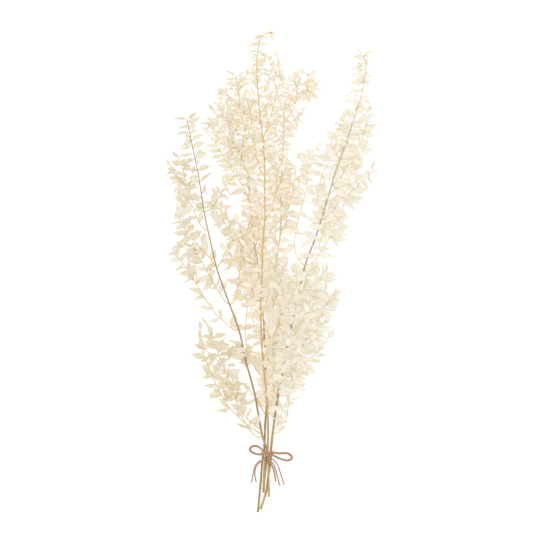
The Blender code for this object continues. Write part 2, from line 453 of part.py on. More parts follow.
def shoot_line(data, lines):
    """A side shoot's smooth curve, from the nearest point on the stem that bears it."""
    flat = np.array(data["points"], float)
    best = None
    for line in lines:
        fine = spaced(line, 1.0)
        away = np.linalg.norm(fine[:, :2] - flat[0], axis=1)
        if best is None or away.min() < best[0] - 0.5:
            best = (away.min(), fine[away.argmin()])
    base = best[1]
    flat[0] = base[:2]
    steps = np.linalg.norm(np.diff(flat, axis=0), axis=1)
    share = np.concatenate([[0], np.cumsum(steps)]) / steps.sum()
    up = base[2] + data["lift"] * share + ARCH * steps.sum() * np.sin(math.pi * share)
    return smooth(np.column_stack([flat, np.maximum(up, 0.9)]))


def stem_lines():
    """For each stem, its coarse lines in metres: the main one first, then its side shoots."""
    out = {}
    for name, stem in STEMS.items():
        lines = [spaced(smooth(stem["route"]), STEM_STEP)]
        for data in stem["shoots"]:
            lines.append(spaced(shoot_line(data, lines), SHOOT_STEP))
        out[name] = [metres(line) for line in lines]
    return out


def unit(v):
    return v / np.linalg.norm(v)


def leaf_template():
    """A closed spindle with three sides: each vertex's ring and side, and its faces."""
    bm = bmesh.new()
    bmesh.ops.create_uvsphere(bm, u_segments=3, v_segments=len(STATIONS) - 1, radius=1)
    bmesh.ops.triangulate(bm, faces=bm.faces)
    rings = []
    for v in bm.verts:
        ring = round(math.acos(max(-1, min(1, -v.co.z))) / math.pi * (len(STATIONS) - 1))
        side = round(math.atan2(v.co.y, v.co.x) / (2 * math.pi / 3)) % 3
        rings.append((ring, side))
    faces = [tuple(v.index for v in f.verts) for f in bm.faces]
    bm.free()
    return rings, faces


RINGS, FACES = leaf_template()


def leaf_points(leaf, spare=0.0):
    """The leaf's vertices, grown by spare on all sides. Side 0 is the rib, 1 and 2 the edges."""
    face = leaf["face"]
    across = unit(np.cross(leaf["chord"], face))
    out = np.zeros((len(RINGS), 3))
    for i, (ring, side) in enumerate(RINGS):
        s = STATIONS[ring]
        spine = leaf["root"] + leaf["chord"] * s + leaf["arch"] * 4 * s * (1 - s)
        if 0 < ring < len(STATIONS) - 1:
            half = max(PETIOLE, HALF_WIDTHS[ring] * leaf["width"] / 2) + spare
            if side == 0:
                spine = spine + face * (LEAF_THICKNESS * (0.6 if ring == 1 else 1) + spare)
            else:
                spine = spine + across * half * (1 if side == 1 else -1)
        out[i] = spine
    return press(out)


def press(points):
    """Keeps a leaf above the table: its edges lie on it, and its rib a leaf's thickness higher."""
    low = points[:, 2] < 0
    if low.any():
        for i, (ring, side) in enumerate(RINGS):
            edge = LEAF_THICKNESS if side == 0 and 0 < ring < len(STATIONS) - 1 else 0.0
            points[i, 2] = max(points[i, 2], edge)
    return points


def is_flat_enough(points):
    """False for a leaf that the table would fold together."""
    if points[:, 2].min() > 1e-6:
        return True
    for ring in range(2, len(STATIONS) - 1):
        left, right = (points[RINGS.index((ring, side))] for side in (1, 2))
        spread = np.linalg.norm((left - right)[:2])
        if spread < PRESSED_SHARE * HALF_WIDTHS[ring] * LEAF_WIDTH:
            return False
    return True


def leaf_size(share, place):
    """Leaves are largest low on the bunch and at the base of each shoot."""
    height = np.interp(place[1] / SQUARE + ORIGIN[1], LEAF_SIZES[0], LEAF_SIZES[1])
    return height * (BASE_SIZE + (TIP_SIZE - BASE_SIZE) * share)


def leaf_sites(line, start, gap):
    """Where leaves grow on a line: distance along it, and which leaf it is, the last at the tip."""
    total = lengths(line)[-1]
    count = max(1, round((total - start) / gap))
    return [(start + (total - start) * k / count, k, k == count) for k in range(count + 1)]


def turned_face(ahead, spare, roll):
    """The way a leaf's upper side looks: up, or the spare way if it is steep, and then rolled."""
    face = np.array([0, 0, 1.0]) - ahead * ahead[2]
    if np.linalg.norm(face) < 0.3:
        face = spare - ahead * ahead.dot(spare)
    face = unit(face)
    face = face * math.cos(roll) + np.cross(ahead, face) * math.sin(roll)
    return face if face[2] > 0 else -face


def leaf_try(site, line, draw):
    """One way that the leaf at a site could stand."""
    where, k, last = site
    total = lengths(line)[-1]
    here = at_length(line, where)
    behind = at_length(line, max(0, where - NEARBY))
    along = unit(at_length(line, min(total, where + NEARBY)) - behind)
    side = unit(np.cross(along, [0, 0, 1]))
    up = np.cross(side, along)
    turn = math.pi * (k % 2) + TWIST * k + draw.gauss(0, TWIST_SPREAD)
    out = side * math.cos(turn) + up * math.sin(turn) * UP_SHARE
    angle = draw.gauss(0, TIP_SPREAD) if last else LEAF_ANGLE + draw.gauss(0, ANGLE_SPREAD)
    ahead = unit(along * math.cos(angle) + unit(out) * math.sin(angle))
    face = turned_face(ahead, along, draw.gauss(0, ROLL_SPREAD))
    size = leaf_size(where / total, here) * draw.uniform(*SIZE_SPREAD)
    long = LEAF_LENGTH * size
    hang = (face * draw.uniform(*BENDS) + np.array([0, -SAG, 0])) * long
    return {
        "root": here, "chord": ahead * long + hang, "arch": -hang / 4, "face": face,
        "width": LEAF_WIDTH * size * draw.uniform(*WIDTH_SPREAD),
    }


def sheet_place(across, down):
    """A place on the sheet of the drawn leaves, in metres from the origin."""
    return (np.array([across - SHEET_TIE[0], SHEET_TIE[1] - down]) - ORIGIN) * SQUARE


def drawn_sites(all_lines):
    """For each line, the drawn leaves that grow on it: how far along it, and the leaf's row."""
    fine = {
        (name, number): spaced(line, SQUARE)
        for name, lines in all_lines.items() for number, line in enumerate(lines)
    }
    out = {key: [] for key in fine}
    for row in DRAWN:
        root = sheet_place(*row[:2])
        away = {key: np.linalg.norm(line[:, :2] - root, axis=1) for key, line in fine.items()}
        key = min(away, key=lambda k: away[k].min())
        nearest = away[key].argmin()
        reach = np.linalg.norm(sheet_place(*row[2:4]) - fine[key][nearest, :2])
        if away[key][nearest] < OFF_STEM * SQUARE and reach < LONGEST * SQUARE:
            out[key].append((lengths(fine[key])[nearest], row))
    return out


def seen_size(row):
    """Squares long times squares wide of a drawn leaf."""
    return math.dist(row[:2], row[2:4]) * row[4]


def drawn_try(row, where, line, draw):
    """One way that a drawn leaf could stand: how its tip rises and how it rolls are free."""
    root = at_length(line, where)
    reach = sheet_place(*row[2:4]) - root[:2]
    seen = np.linalg.norm(reach)
    size = leaf_size(0.5, root) * draw.uniform(*SIZE_SPREAD)
    long = min(max(seen, LEAF_LENGTH * size), seen * STEEPEST)
    rise = math.sqrt(long**2 - seen**2) * draw.uniform(*RISES) * draw.choice((-1, 1))
    chord = np.array([*reach, max(rise, LOWEST_TIP - root[2])])
    ahead = unit(chord)
    wide = max(row[4] * SQUARE, LEAF_WIDTH * size * draw.uniform(*WIDTH_SPREAD))
    face = turned_face(ahead, ahead, math.acos(row[4] * SQUARE / wide) * draw.choice((-1, 1)))
    arch = np.array([0, 1, draw.random()]) * draw.uniform(*DRAWN_ARCH) * long
    return {"root": root, "chord": chord, "arch": arch, "face": face, "width": wide}


def tube(name, line, radii, sides):
    """A mesh tube along a line, tapering from the first radius to the second."""
    curve = bpy.data.curves.new(name, "CURVE")
    curve.dimensions = "3D"
    curve.bevel_depth = 1.0
    curve.bevel_resolution = {4: 0, 6: 1, 8: 2}[sides]
    curve.use_fill_caps = True
    spline = curve.splines.new("POLY")
    spline.points.add(len(line) - 1)
    share = lengths(line) / lengths(line)[-1]
    for point, place, t in zip(spline.points, line, share):
        point.co = (*place, 1)
        point.radius = radii[0] + (radii[1] - radii[0]) * t
    guide = bpy.data.objects.new(name, curve)
    bpy.context.scene.collection.objects.link(guide)
    shape = guide.evaluated_get(bpy.context.evaluated_depsgraph_get())
    mesh = bpy.data.meshes.new_from_object(shape)
    bm = bmesh.new()
    bm.from_mesh(mesh)
    bmesh.ops.remove_doubles(bm, verts=bm.verts, dist=1e-6)
    bmesh.ops.triangulate(bm, faces=bm.faces)
    bmesh.ops.recalc_face_normals(bm, faces=bm.faces)
    bm.to_mesh(mesh)
    bm.free()
    bpy.data.objects.remove(guide)
    bpy.data.curves.remove(curve)
    mesh.name = name
    return mesh


def solid(name, points, faces):
    """A mesh whose faces point out."""
    mesh = bpy.data.meshes.new(name)
    mesh.from_pydata([tuple(p) for p in points], [], faces)
    bm = bmesh.new()
    bm.from_mesh(mesh)
    bmesh.ops.recalc_face_normals(bm, faces=bm.faces)
    bm.to_mesh(mesh)
    bm.free()
    return mesh


class Taken:
    """The space that stems and leaves already fill."""

    def __init__(self):
        self.low = []
        self.high = []
        self.trees = []
        self.owners = []

    def add(self, points, faces, owner):
        points = np.asarray(points)
        self.low.append(points.min(axis=0))
        self.high.append(points.max(axis=0))
        self.trees.append(BVHTree.FromPolygons([Vector(p) for p in points], faces))
        self.owners.append(owner)

    def crossed(self, points, faces, skip):
        """The owners of what this shape would cross."""
        low, high = points.min(axis=0), points.max(axis=0)
        near = np.all((np.array(self.low) < high) & (np.array(self.high) > low), axis=1)
        tree = BVHTree.FromPolygons([Vector(p) for p in points], faces)
        return [
            self.owners[i] for i in np.flatnonzero(near)
            if self.owners[i] != skip and tree.overlap(self.trees[i])
        ]


def place_leaf(name, number, label, attempt, taken):
    """The first way to stand that crosses nothing, or else one that crosses no other stem."""
    fallback = None
    for k in range(TRIES):
        leaf = attempt(random.Random(f"{name} {number} {label} {k}"))
        points = leaf_points(leaf)
        if not is_flat_enough(points):
            continue
        owners = taken.crossed(leaf_points(leaf, CLEARANCE), FACES, (name, number))
        if fallback is None and all(owner[0] == name for owner in owners):
            fallback = leaf
        if not owners:
            fallback = leaf
            break
    if fallback:
        taken.add(leaf_points(fallback), FACES, (name, number, label))
    return fallback


def first_leaf(name, number, line):
    """How far along a line its first leaf may grow."""
    if number:
        return SHOOT_BARE
    return float(np.interp(along_of(STEMS[name]["leafy_from"]), line[:, 1], lengths(line)))


def plan_leaves(all_lines, taken):
    """For each stem and line, its leaves and how far along it they grow, the drawn ones first."""
    drawn = drawn_sites(all_lines)
    out = {key: [] for key in drawn}
    for (name, number), rows in drawn.items():
        line = all_lines[name][number]
        for where, row in rows:
            if seen_size(row) < SMALLEST:
                continue
            attempt = partial(drawn_try, row, where, line)
            leaf = place_leaf(name, number, f"drawn {row[0]} {row[1]} {row[2]}", attempt, taken)
            if leaf:
                out[name, number].append((where, leaf))
    for (name, number), rows in drawn.items():
        line = all_lines[name][number]
        for site in leaf_sites(line, first_leaf(name, number, line), LEAF_GAP * SQUARE):
            if any(abs(site[0] - where) < FREE_STEM * SQUARE for where, row in rows):
                continue
            leaf = place_leaf(name, number, f"{site[1]}", partial(leaf_try, site, line), taken)
            if leaf:
                out[name, number].append((site[0], leaf))
    return out


def material(name, colour, roughness):
    made = bpy.data.materials.new(name)
    made.use_nodes = True
    shader = made.node_tree.nodes["Principled BSDF"]
    shader.inputs["Base Color"].default_value = (*colour, 1)
    shader.inputs["Roughness"].default_value = roughness
    shader.inputs["Metallic"].default_value = 0.0
    return made


def link(name, mesh, collection, finish=None):
    made = bpy.data.objects.new(name, mesh)
    collection.objects.link(made)
    if finish:
        mesh.materials.clear()
        mesh.materials.append(finish)
    return made


def join(base, pieces):
    """One closed body from the base and every piece that grows from it."""
    modifier = base.modifiers.new("join", "BOOLEAN")
    modifier.operation = "UNION"
    modifier.operand_type = "COLLECTION"
    modifier.collection = pieces
    modifier.solver = "MANIFOLD"
    shape = base.evaluated_get(bpy.context.evaluated_depsgraph_get())
    mesh = bpy.data.meshes.new_from_object(shape)
    base.modifiers.clear()
    base.data = mesh
    bm = bmesh.new()
    bm.from_mesh(mesh)
    bmesh.ops.dissolve_limit(bm, angle_limit=FLAT, verts=bm.verts, edges=bm.edges)
    bmesh.ops.triangulate(bm, faces=bm.faces)
    if all(edge.is_manifold for edge in bm.edges):
        bm.to_mesh(mesh)
    bm.free()
    for piece in list(pieces.objects):
        bpy.data.objects.remove(piece)
    bpy.data.collections.remove(pieces)


def build_stems(bunch, finish):
    """All stems with their leaves, kept clear of each other."""
    all_lines = stem_lines()
    taken = Taken()
    meshes = {}
    for name, lines in all_lines.items():
        for number, line in enumerate(lines):
            radii = STEMS[name]["radius"] if number == 0 else SHOOT_RADIUS
            mesh = tube(f"{name}_{number}", line, radii, 6 if number == 0 else 4)
            meshes[name, number] = mesh
            points = [v.co for v in mesh.vertices]
            taken.add(points, [tuple(p.vertices) for p in mesh.polygons], (name, number))
    leaves = plan_leaves(all_lines, taken)
    for name, lines in all_lines.items():
        pieces = bpy.data.collections.new(f"{name}_pieces")
        bpy.context.scene.collection.children.link(pieces)
        base = link(name, meshes[name, 0], bunch)
        for number in range(len(lines)):
            if number:
                link(f"{name}_{number}", meshes[name, number], pieces)
            for where, leaf in leaves[name, number]:
                link(f"{name}_leaf", solid(f"{name}_leaf", leaf_points(leaf), FACES), pieces)
        join(base, pieces)
        base.data.materials.clear()
        base.data.materials.append(finish)
    return all_lines


def tie_hull(all_lines):
    """The closed line round the five stems at the tie, as (across, up) points and directions."""
    circles = []
    for name, lines in all_lines.items():
        line = lines[0]
        for shift in (-TIE_HALF, 0, TIE_HALF):
            along = along_of(TIE_AT) + shift
            where = np.interp(along, line[:, 1], lengths(line))
            centre = at_length(line, where)
            circles.append((centre[0], centre[2], STEMS[name]["radius"][0] + TIE_CLEARANCE))
    out = []
    for k in range(TIE_SIDES):
        angle = 2 * math.pi * k / TIE_SIDES
        way = np.array([math.cos(angle), math.sin(angle)])
        x, z, r = max(circles, key=lambda c: c[0] * way[0] + c[1] * way[1] + c[2])
        out.append((np.array([x, z]) + way * r, way))
    return out


def build_tie(bunch, finish, all_lines):
    """Three turns of twine round the stems as one ribbed band, with the knot on top."""
    bm = bmesh.new()
    rings = []
    hull = tie_hull(all_lines)
    for place, way in hull:
        ring = []
        for y, out in TIE_RIM:
            x, z = place + way * out * TWINE
            ring.append(bm.verts.new((x, along_of(TIE_AT) + y * TIE_HALF, z)))
        rings.append(ring)
    for ring, after in zip(rings, rings[1:] + rings[:1]):
        for j in range(len(TIE_RIM)):
            k = (j + 1) % len(TIE_RIM)
            bm.faces.new((ring[j], ring[k], after[k], after[j]))
    bmesh.ops.triangulate(bm, faces=bm.faces)
    bmesh.ops.recalc_face_normals(bm, faces=bm.faces)
    mesh = bpy.data.meshes.new("twine_tie")
    bm.to_mesh(mesh)
    bm.free()
    band = link("twine_tie", mesh, bunch)
    pieces = bpy.data.collections.new("knot")
    bpy.context.scene.collection.children.link(pieces)
    top = max(place[1] for place, way in hull)
    bm = bmesh.new()
    bmesh.ops.create_cube(bm, size=1)
    bmesh.ops.scale(bm, vec=KNOT, verts=bm.verts)
    bmesh.ops.bevel(bm, geom=bm.edges, offset=KNOT_EDGE, segments=1, affect="EDGES")
    middle = (-ORIGIN[0] * SQUARE, along_of(KNOT_AT), top + KNOT_ABOVE + KNOT[2] / 2)
    bmesh.ops.translate(bm, vec=middle, verts=bm.verts)
    bmesh.ops.triangulate(bm, faces=bm.faces)
    knot = bpy.data.meshes.new("knot")
    bm.to_mesh(knot)
    bm.free()
    link("knot", knot, pieces)
    join(band, pieces)
    band.data.materials.clear()
    band.data.materials.append(finish)


def build_bow(bunch, finish):
    """The bow's loops and tails, each one strand of twine."""
    for name, points in STRANDS.items():
        line = spaced(smooth(metres(points)), TWINE_STEP)
        line[:, 2] = np.maximum(line[:, 2], TWINE / 2 + 0.0001)
        link(name, tube(name, line, (TWINE / 2, TWINE / 2), 8), bunch, finish)


def main():
    for old in list(bpy.data.objects):
        bpy.data.objects.remove(old)
    bunch = bpy.data.collections.new("dried_ruscus_bunch")
    bpy.context.scene.collection.children.link(bunch)
    leaf = material("dried_leaf", LEAF_COLOUR, 0.7)
    twine = material("jute_twine", TWINE_COLOUR, 0.9)
    all_lines = build_stems(bunch, leaf)
    build_tie(bunch, twine, all_lines)
    build_bow(bunch, twine)


main()
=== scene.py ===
"""The looks of the dried ruscus bunch: five leafy stems tied with a twine bow.

The table is z = 0, +Y runs along the bunch towards its tips and +X is to the right when it
is seen from above. Lengths are in metres, but the stems are drawn on a cubic grid whose
squares are counted from the point where they cross at the tie.
"""

import math
import random
from functools import partial

import bmesh
import bpy
import numpy as np
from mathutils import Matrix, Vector
from mathutils.bvhtree import BVHTree


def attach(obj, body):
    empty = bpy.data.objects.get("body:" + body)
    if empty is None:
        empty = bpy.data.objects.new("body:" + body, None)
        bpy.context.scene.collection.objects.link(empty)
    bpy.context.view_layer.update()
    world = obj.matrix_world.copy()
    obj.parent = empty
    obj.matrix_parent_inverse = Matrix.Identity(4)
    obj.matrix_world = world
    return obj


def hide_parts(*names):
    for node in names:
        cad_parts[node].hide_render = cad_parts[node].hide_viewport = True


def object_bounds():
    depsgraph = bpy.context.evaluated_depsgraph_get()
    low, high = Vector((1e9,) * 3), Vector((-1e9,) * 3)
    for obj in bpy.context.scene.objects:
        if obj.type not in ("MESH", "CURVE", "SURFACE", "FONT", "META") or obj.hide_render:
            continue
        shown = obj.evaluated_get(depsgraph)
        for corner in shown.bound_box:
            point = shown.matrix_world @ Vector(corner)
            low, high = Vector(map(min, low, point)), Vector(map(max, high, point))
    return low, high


# The bunch is 0.8 m long and its drawing is 486 grid squares long.
BUNCH_LENGTH = 0.800
GRID_SQUARES = 486
SQUARE = BUNCH_LENGTH / GRID_SQUARES
ORIGIN = (6.1, 182.3)  # the middle of the bunch's box, in squares across and along from the tie

# Camera, straight above
PHOTO_PIXELS = 540
PHOTO_MIDDLE = (3, 182)  # squares across and along from the tie
CAMERA_ABOVE = 8.0
MID_HEIGHT = 0.03
SENSOR = 36
CAMERA_REACH = 30
FLOOR_LIGHT = 0.78
FLOOR_GREYS = ((0.24, 0.24, 0.24), (0.26, 0.26, 0.26))
FLOOR_HALF = 6
FLOOR_BELOW = 0.0002  # the floor is this far under the bunch, so no two surfaces coincide
ROOM_LIGHT = 1.1
LAMPS = {
    "key": {"place": (-1.6, 1.5, 2.6), "size": 2.6, "power": 40},
    "fill": {"place": (1.9, -1.0, 2.4), "size": 2.6, "power": 16},
}

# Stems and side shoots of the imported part, whose leaves these repeat
SHOOT_RADIUS = (0.00105, 0.00080)
STEM_STEP = 26
SHOOT_BARE = 0.0135
SHOOT_STEP = 16
SHOOT_NEARER = 0.5  # squares by which a later line has to be nearer to bear a shoot
SHOOT_LOWEST = 0.9  # squares over the table
STEM_TUBE, SHOOT_TUBE = 6, 4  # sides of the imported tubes
ARCH = 0.05
LEAF_LENGTH = 0.0250
LEAF_WIDTH = 0.0104
LEAF_THICKNESS = 0.0009  # at the midrib
ROOT_RIB = 0.6  # of that, where the leaf joins its stem
PETIOLE = 0.00035  # half the width of the leaf where it joins its stem
STATIONS = (-0.02, 0.02, 0.38, 0.74, 1.0)  # rings along the leaf, as shares of its length
HALF_WIDTHS = (0.0, 0.0, 1.0, 0.78, 0.0)  # there, as shares of half its width
LEAF_SIZES = ((0, 120, 300, 420), (1.1, 1.06, 0.98, 0.72))  # share of LEAF_LENGTH, by squares along
BASE_SIZE, TIP_SIZE = 1.06, 0.84  # of the leaves at the base and at the tip of a shoot
SIZE_SPREAD = (0.88, 1.12)
WIDTH_SPREAD = (0.88, 1.1)
LEAF_GAP = 11.0  # squares along a stem from one leaf to the next
LEAF_ANGLE = math.radians(66)  # between a leaf and its stem
ANGLE_SPREAD = 0.22
TIP_SPREAD = 0.1  # of the angle of the last leaf on a stem
TWIST = math.radians(11)  # each leaf stands this much further round its stem
TWIST_SPREAD = 0.42
UP_SHARE = 0.8  # leaves point up or down a little less than they point sideways
ROLL_SPREAD = 0.4
BENDS = (-0.2, 0.14)  # a tip bends towards the leaf's upper side by this share of its length
PRESSED_SHARE = 0.4  # a leaf that the table presses keeps at least this share of its width
SAG = 0.18  # leaf tips hang back towards the tie by this share of the leaf
NEARBY = 0.004  # a stem's direction at a leaf is read over this far each way
STEEP = 0.3  # a leaf that looks shorter than this from above, of 1, is turned another way
TRIES = 24  # ways that a leaf may turn to keep clear of other stems
CLEARANCE = 0.00045  # between two stems' leaves
TOUCHING = 1e-6

# Leaves drawn one by one
SHEET_TIE = (267, 452)  # the tie's place on the sheet, in squares from its upper left corner
SMALLEST = 33  # squares long times squares wide: smaller drawn leaves are left out
FREE_STEM = 9.0  # no other leaf grows within this many squares of a drawn one
OFF_STEM = 10.0  # a drawn leaf this many squares from every stem is left out
LONGEST = 19.0  # squares from its stem to the tip of a drawn leaf
STEEPEST = 1.5  # a drawn leaf is at most this many times as long as it looks from above
RISES = (0.35, 0.9)  # share of its free height that a drawn leaf's tip rises or falls by
DRAWN_ARCH = (0.02, 0.09)  # a drawn leaf's middle stands off its chord by this share of its length
LOWEST_TIP = 0.001

# The finer stems and leaves
FINE_STEP = 2.2  # squares between the rings of a fine stem
RINGS_APART = 1e-4  # metres between them at least, where rings are added at a leaf
UPRIGHT = 0.1  # a line whose first step leans less than this is upright
TWIG_RADIUS = (0.00095, 0.00052)  # of a side shoot, at its base and at its tip
STEM_TIP = 0.00072  # radius of a main stem at its tip
STEM_FULL = 1.05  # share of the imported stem's radius, bark ridges and all
NODE_SWELL = 0.28  # a stem is thicker by this share where a leaf grows
NODE_LENGTH = 0.0011
# The crowded parts of the bunch on the sheet: how far down, and the left and right sides
# there. Leaves are added every gap squares, at this share of the usual length and width.
THICKETS = (
    {"gap": 3.6, "twigs": 4, "size": 0.82, "breadth": 0.92, "rows": (
        (57, 257, 268), (63, 257, 276), (82, 257, 280),
    )},
    {"gap": 5.2, "twigs": 9, "size": 0.82, "breadth": 0.88, "rows": (
        (73, 296, 310), (80, 288, 316), (98, 284, 318),
    )},
    {"gap": 5.0, "twigs": 10, "size": 0.78, "breadth": 0.84, "rows": (
        (72, 248, 254), (84, 232, 255), (90, 228, 256), (104, 222, 257), (115, 218, 259),
        (130, 217, 261), (140, 216, 261), (160, 222, 262), (180, 230, 262),
    )},
    {"gap": 4.3, "twigs": 8, "size": 0.78, "breadth": 0.86, "rows": (
        (56, 253, 262), (63, 254, 277), (70, 254, 282), (84, 255, 292), (90, 256, 300),
        (104, 257, 303), (115, 259, 294), (130, 261, 290), (140, 261, 287), (160, 262, 285),
        (180, 262, 289),
    )},
    {"gap": 5.0, "twigs": 11, "size": 0.88, "breadth": 0.90, "rows": (
        (180, 240, 290), (195, 248, 292), (215, 246, 292), (232, 233, 284), (255, 228, 278),
        (272, 232, 284),
    )},
    {"gap": 7.4, "twigs": 13, "size": 1.02, "breadth": 1.05, "rows": (
        (272, 234, 326), (286, 236, 326), (300, 256, 334), (318, 261, 326), (345, 262, 316),
        (370, 262, 306), (395, 262, 284), (412, 263, 276),
    )},
    {"gap": 6.8, "twigs": 14, "size": 1.1, "breadth": 1.05, "rows": (
        (58, 352, 368), (70, 350, 370), (84, 342, 366), (96, 336, 366), (115, 334, 368),
        (128, 337, 370), (140, 335, 364), (152, 332, 360),
    )},
    {"gap": 9.0, "twigs": 18, "size": 1.16, "breadth": 1.06, "rows": (
        (152, 332, 362), (165, 328, 362), (180, 332, 358), (190, 324, 356), (210, 320, 350),
        (225, 318, 342), (240, 314, 334),
    )},
    {"gap": 6.4, "twigs": 13, "size": 0.9, "breadth": 0.95, "rows": (
        (346, 204, 238), (356, 202, 250), (370, 206, 246), (385, 212, 238), (402, 218, 240),
    )},
    {"gap": 8.5, "twigs": 17, "size": 0.9, "breadth": 0.95, "rows": (
        (158, 172, 184), (175, 174, 194), (190, 178, 194), (210, 180, 194), (240, 182, 206),
        (262, 180, 206), (285, 190, 206),
    )},
    {"gap": 7.0, "twigs": 15, "size": 0.85, "breadth": 0.92, "rows": (
        (146, 304, 316), (160, 300, 318), (175, 296, 318), (190, 290, 306), (205, 288, 300),
    )},
    {"gap": 7.0, "twigs": 60, "size": 1.0, "breadth": 1.0, "rows": (
        (194, 204, 216), (210, 204, 224), (225, 212, 232), (240, 220, 236),
    )},
)
OVERLAID = {"stem_right": (50, 184), "stem_centre_right": (60, 176)}  # squares along the bunch
OVERLAY_GAP = (6, 11)  # squares between the leaves that lie over a main stem there
SCAN_STEP = 3.0  # squares between the places where a bare line is looked at again
CROWD_TRIES = 6
STEM_ASIDE = 0.0016  # added leaves stay this far aside of a main stem where it shows
STEM_SHOWS = {
    "stem_left": (8, 262), "stem_centre_left": (178, 204), "stem_centre": (180, 400),
    "stem_centre_right": (186, 342), "stem_right": (186, 400),
}  # squares along the bunch
OVERLAY_LEAN = (-0.75, 0.75)  # to the sides, for each unit along the stem
OVERLAY_RISE = (0.12, 0.3)
OVERLAY_LENGTH = (0.75, 1.0)  # share of the usual length
OVERLAY_WIDTH = (0.85, 1.1)
OVERLAY_ARCH = 0.06
OVERLAY_UP = 0.0008  # its root is this far over the stem's middle

# Short twigs in the thickets, in squares unless another unit is given
TWIGLET_LENGTH = (15, 30)
TWIGLET_POINTS = 12
TWIGLET_SHORTEST = 5  # points of it that lie in a thicket
TWIGLET_RADIUS = (0.00062, 0.00036)  # metres
TWIGLET_BARE = 3.5  # from its base to its first leaf
TWIGLET_ALONG = (0.7, 1.2)  # shares of its direction along its bearer and sideways from it
TWIGLET_ASIDE = (0.5, 0.9)
TWIGLET_RISE = (-0.6, 0.6)
TWIGLET_CURVE = 0.3  # share of its length by which its tip bends back along its bearer
TWIGLET_LOWEST = 0.002  # metres

# Bark
STEM_SIDES, TWIG_SIDES, TWIGLET_SIDES = 12, 8, 6
BARK_RIDGES = (0.93, 1.06)  # radius of each side of a stem, as a share of the stem's
BARK_WAVES = (0.035, 3)  # spread of its radius, and rings from one change to the next

# A dried leaf's rings from its root to its tip, their half widths, and the columns across it
ALONG = (0.0, 0.045, 0.085, 0.15, 0.23, 0.32, 0.42, 0.52, 0.62, 0.72, 0.81, 0.89, 0.95)
OUTLINE = (0.045, 0.05, 0.21, 0.54, 0.84, 1.0, 1.0, 0.91, 0.74, 0.53, 0.34, 0.18, 0.08)
ACROSS = (-1.0, -0.68, -0.34, 0.0, 0.34, 0.68, 1.0)
BROAD = 1.03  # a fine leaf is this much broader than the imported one
STALK = PETIOLE * 0.8
SHEET = 0.00028  # thickness of a dried leaf at its rib
SHEET_EDGE = 0.00010
RIB = 0.22  # half the rib's width, as a share of half the leaf's
RIB_GROOVE, RIB_RIDGE = 0.00006, 0.00016  # metres, above and below
RIB_FADE = 0.6  # of the ridge, from root to tip
SICKLE = 0.05  # leaves curve sideways by about this share of their length
CURLS = (-0.05, 0.16)  # and their ends up or down by this share
CURL_FROM, CURL_GAIN = 0.55, 3  # share of the length where the curl starts, and how it grows
CURLED_DOWN = 0.7  # share of the leaves
ROLLS = (0.12, 0.38)  # spread of a leaf's roll at its root, and of its twist to the tip
FOLD = (0.25, 0.22)  # angle of its halves to flat, and the spread of that
SHUT_LEAVES = 0.12  # share of the leaves that are nearly folded shut
SHUT_FOLD = (0.75, 1.15)
FOLDED_UP = 0.75  # share of the leaves
CUPS = (-0.10, 0.22)
EDGE_WAVES = (0.04, 0.24)  # how high the edge waves, as a share of half the width
WAVE_COUNTS = (1.0, 2.2)
WAVE_POWER = 2.2  # the waves fade towards the rib
OPEN_BY = 0.2  # share of the length where the blade has opened from its stalk
OPEN_POWER = 0.7
LOWEST, LOWEST_SPREAD, LOWEST_SCALE = 0.00005, 0.01, 0.005  # heights of points on the table

# Looks. Bleached leaves are papery and let some light through. They also glow with their own colour, a
# painted light that evens out the shade inside a cluster, and the colour that real light falls on is
# dimmed to match.
SEE_THROUGH = 0.4
LEAF_GLOW = 0.447
LEAF_SHADE = (0.53, 0.52, 0.495)
# The left stem's leaves are warmer near the tie, and lighter in the bunch's middle.
TINT_ALONG = ((105 - ORIGIN[1]) * SQUARE, (150 - ORIGIN[1]) * SQUARE)
TINT_ACROSS = ((-50 - ORIGIN[0]) * SQUARE, (-30 - ORIGIN[0]) * SQUARE)
LEFT_TINTS = ((1.06, 1.04, 1.02), (0.975, 0.96, 0.92))
PLAIN = (1.0, 1.0, 1.0)
VEINS = 34.0
# Metres along a stem from where its colour turns to where it has become the next one
LOW_TURNS = (0.04, 0.16)
HIGH_TURNS = (0.32, 0.60)
TIP_TURNS = (0.645, 0.70)  # into that of its twigs
STREAK_STRETCH, HAIR_STRETCH = 22.0, 300.0  # on bark and on twine
BARK_DARK = (0.42, 0.36, 0.30)
BARK_LIGHT = (0.95, 0.88, 0.74)
WHITE = (1, 1, 1, 1)

# Twine
TWINE = 0.0016
TWINE_RING = 0.00055  # between the rings of a strand
TWINE_SIDES = 15
PLIES = 3
STRAND = 0.0020  # a strand's thickness with its fuzz
DRAWN_TOGETHER = {"outer": 0.10, "inner": 0.36, "middle": 0.30}  # of the way to its neighbour
BESIDE = {"outer": "inner", "inner": "outer", "middle": "inner"}
THICK_TAIL = 1.3  # of the tail that is two strands laid together
LOOP_DROOP = 1.8  # squares that the right loop's far end hangs towards the cut ends
PLY_PITCH = 0.0062
TIE_AT = -2.5
TIE_HALF = 0.0024
TIE_CLEARANCE = 0.00038
TIE_SIDES = 48
TIE_TURNS = 3
TIE_FIBRES = 40
TIE_OUT, TIE_INSET = 0.55, 0.35  # of a strand: out from the stems, and inside the tie's ends
STRAND_FIBRES = 16
PLY_RADII = (0.80, 0.24)  # of a strand between its plies, and how much more on a ply
STRAND_WAVES = (0.04, 5)  # spread of its radius, and rings from one change to the next
STRAND_NOISE = (-0.02, 0.02)
STRAND_ABOVE = 1.15  # radii that a strand's middle is over the table, at least
STRAND_CLEARANCE = 0.0001
MEET_BY = 0.12  # share of a strand's length where it has come to its neighbour
PART_FROM = 0.6  # share of a tail's length where it starts to part from its neighbour again
FIBRE_REACH = 0.0024
FIBRE_LENGTHS = (0.35, 1.0)  # shares of that reach
FIBRE_AWAY = (0.3, 1.2)  # away from the strand, for each unit along it
FIBRE_BEND = 0.35
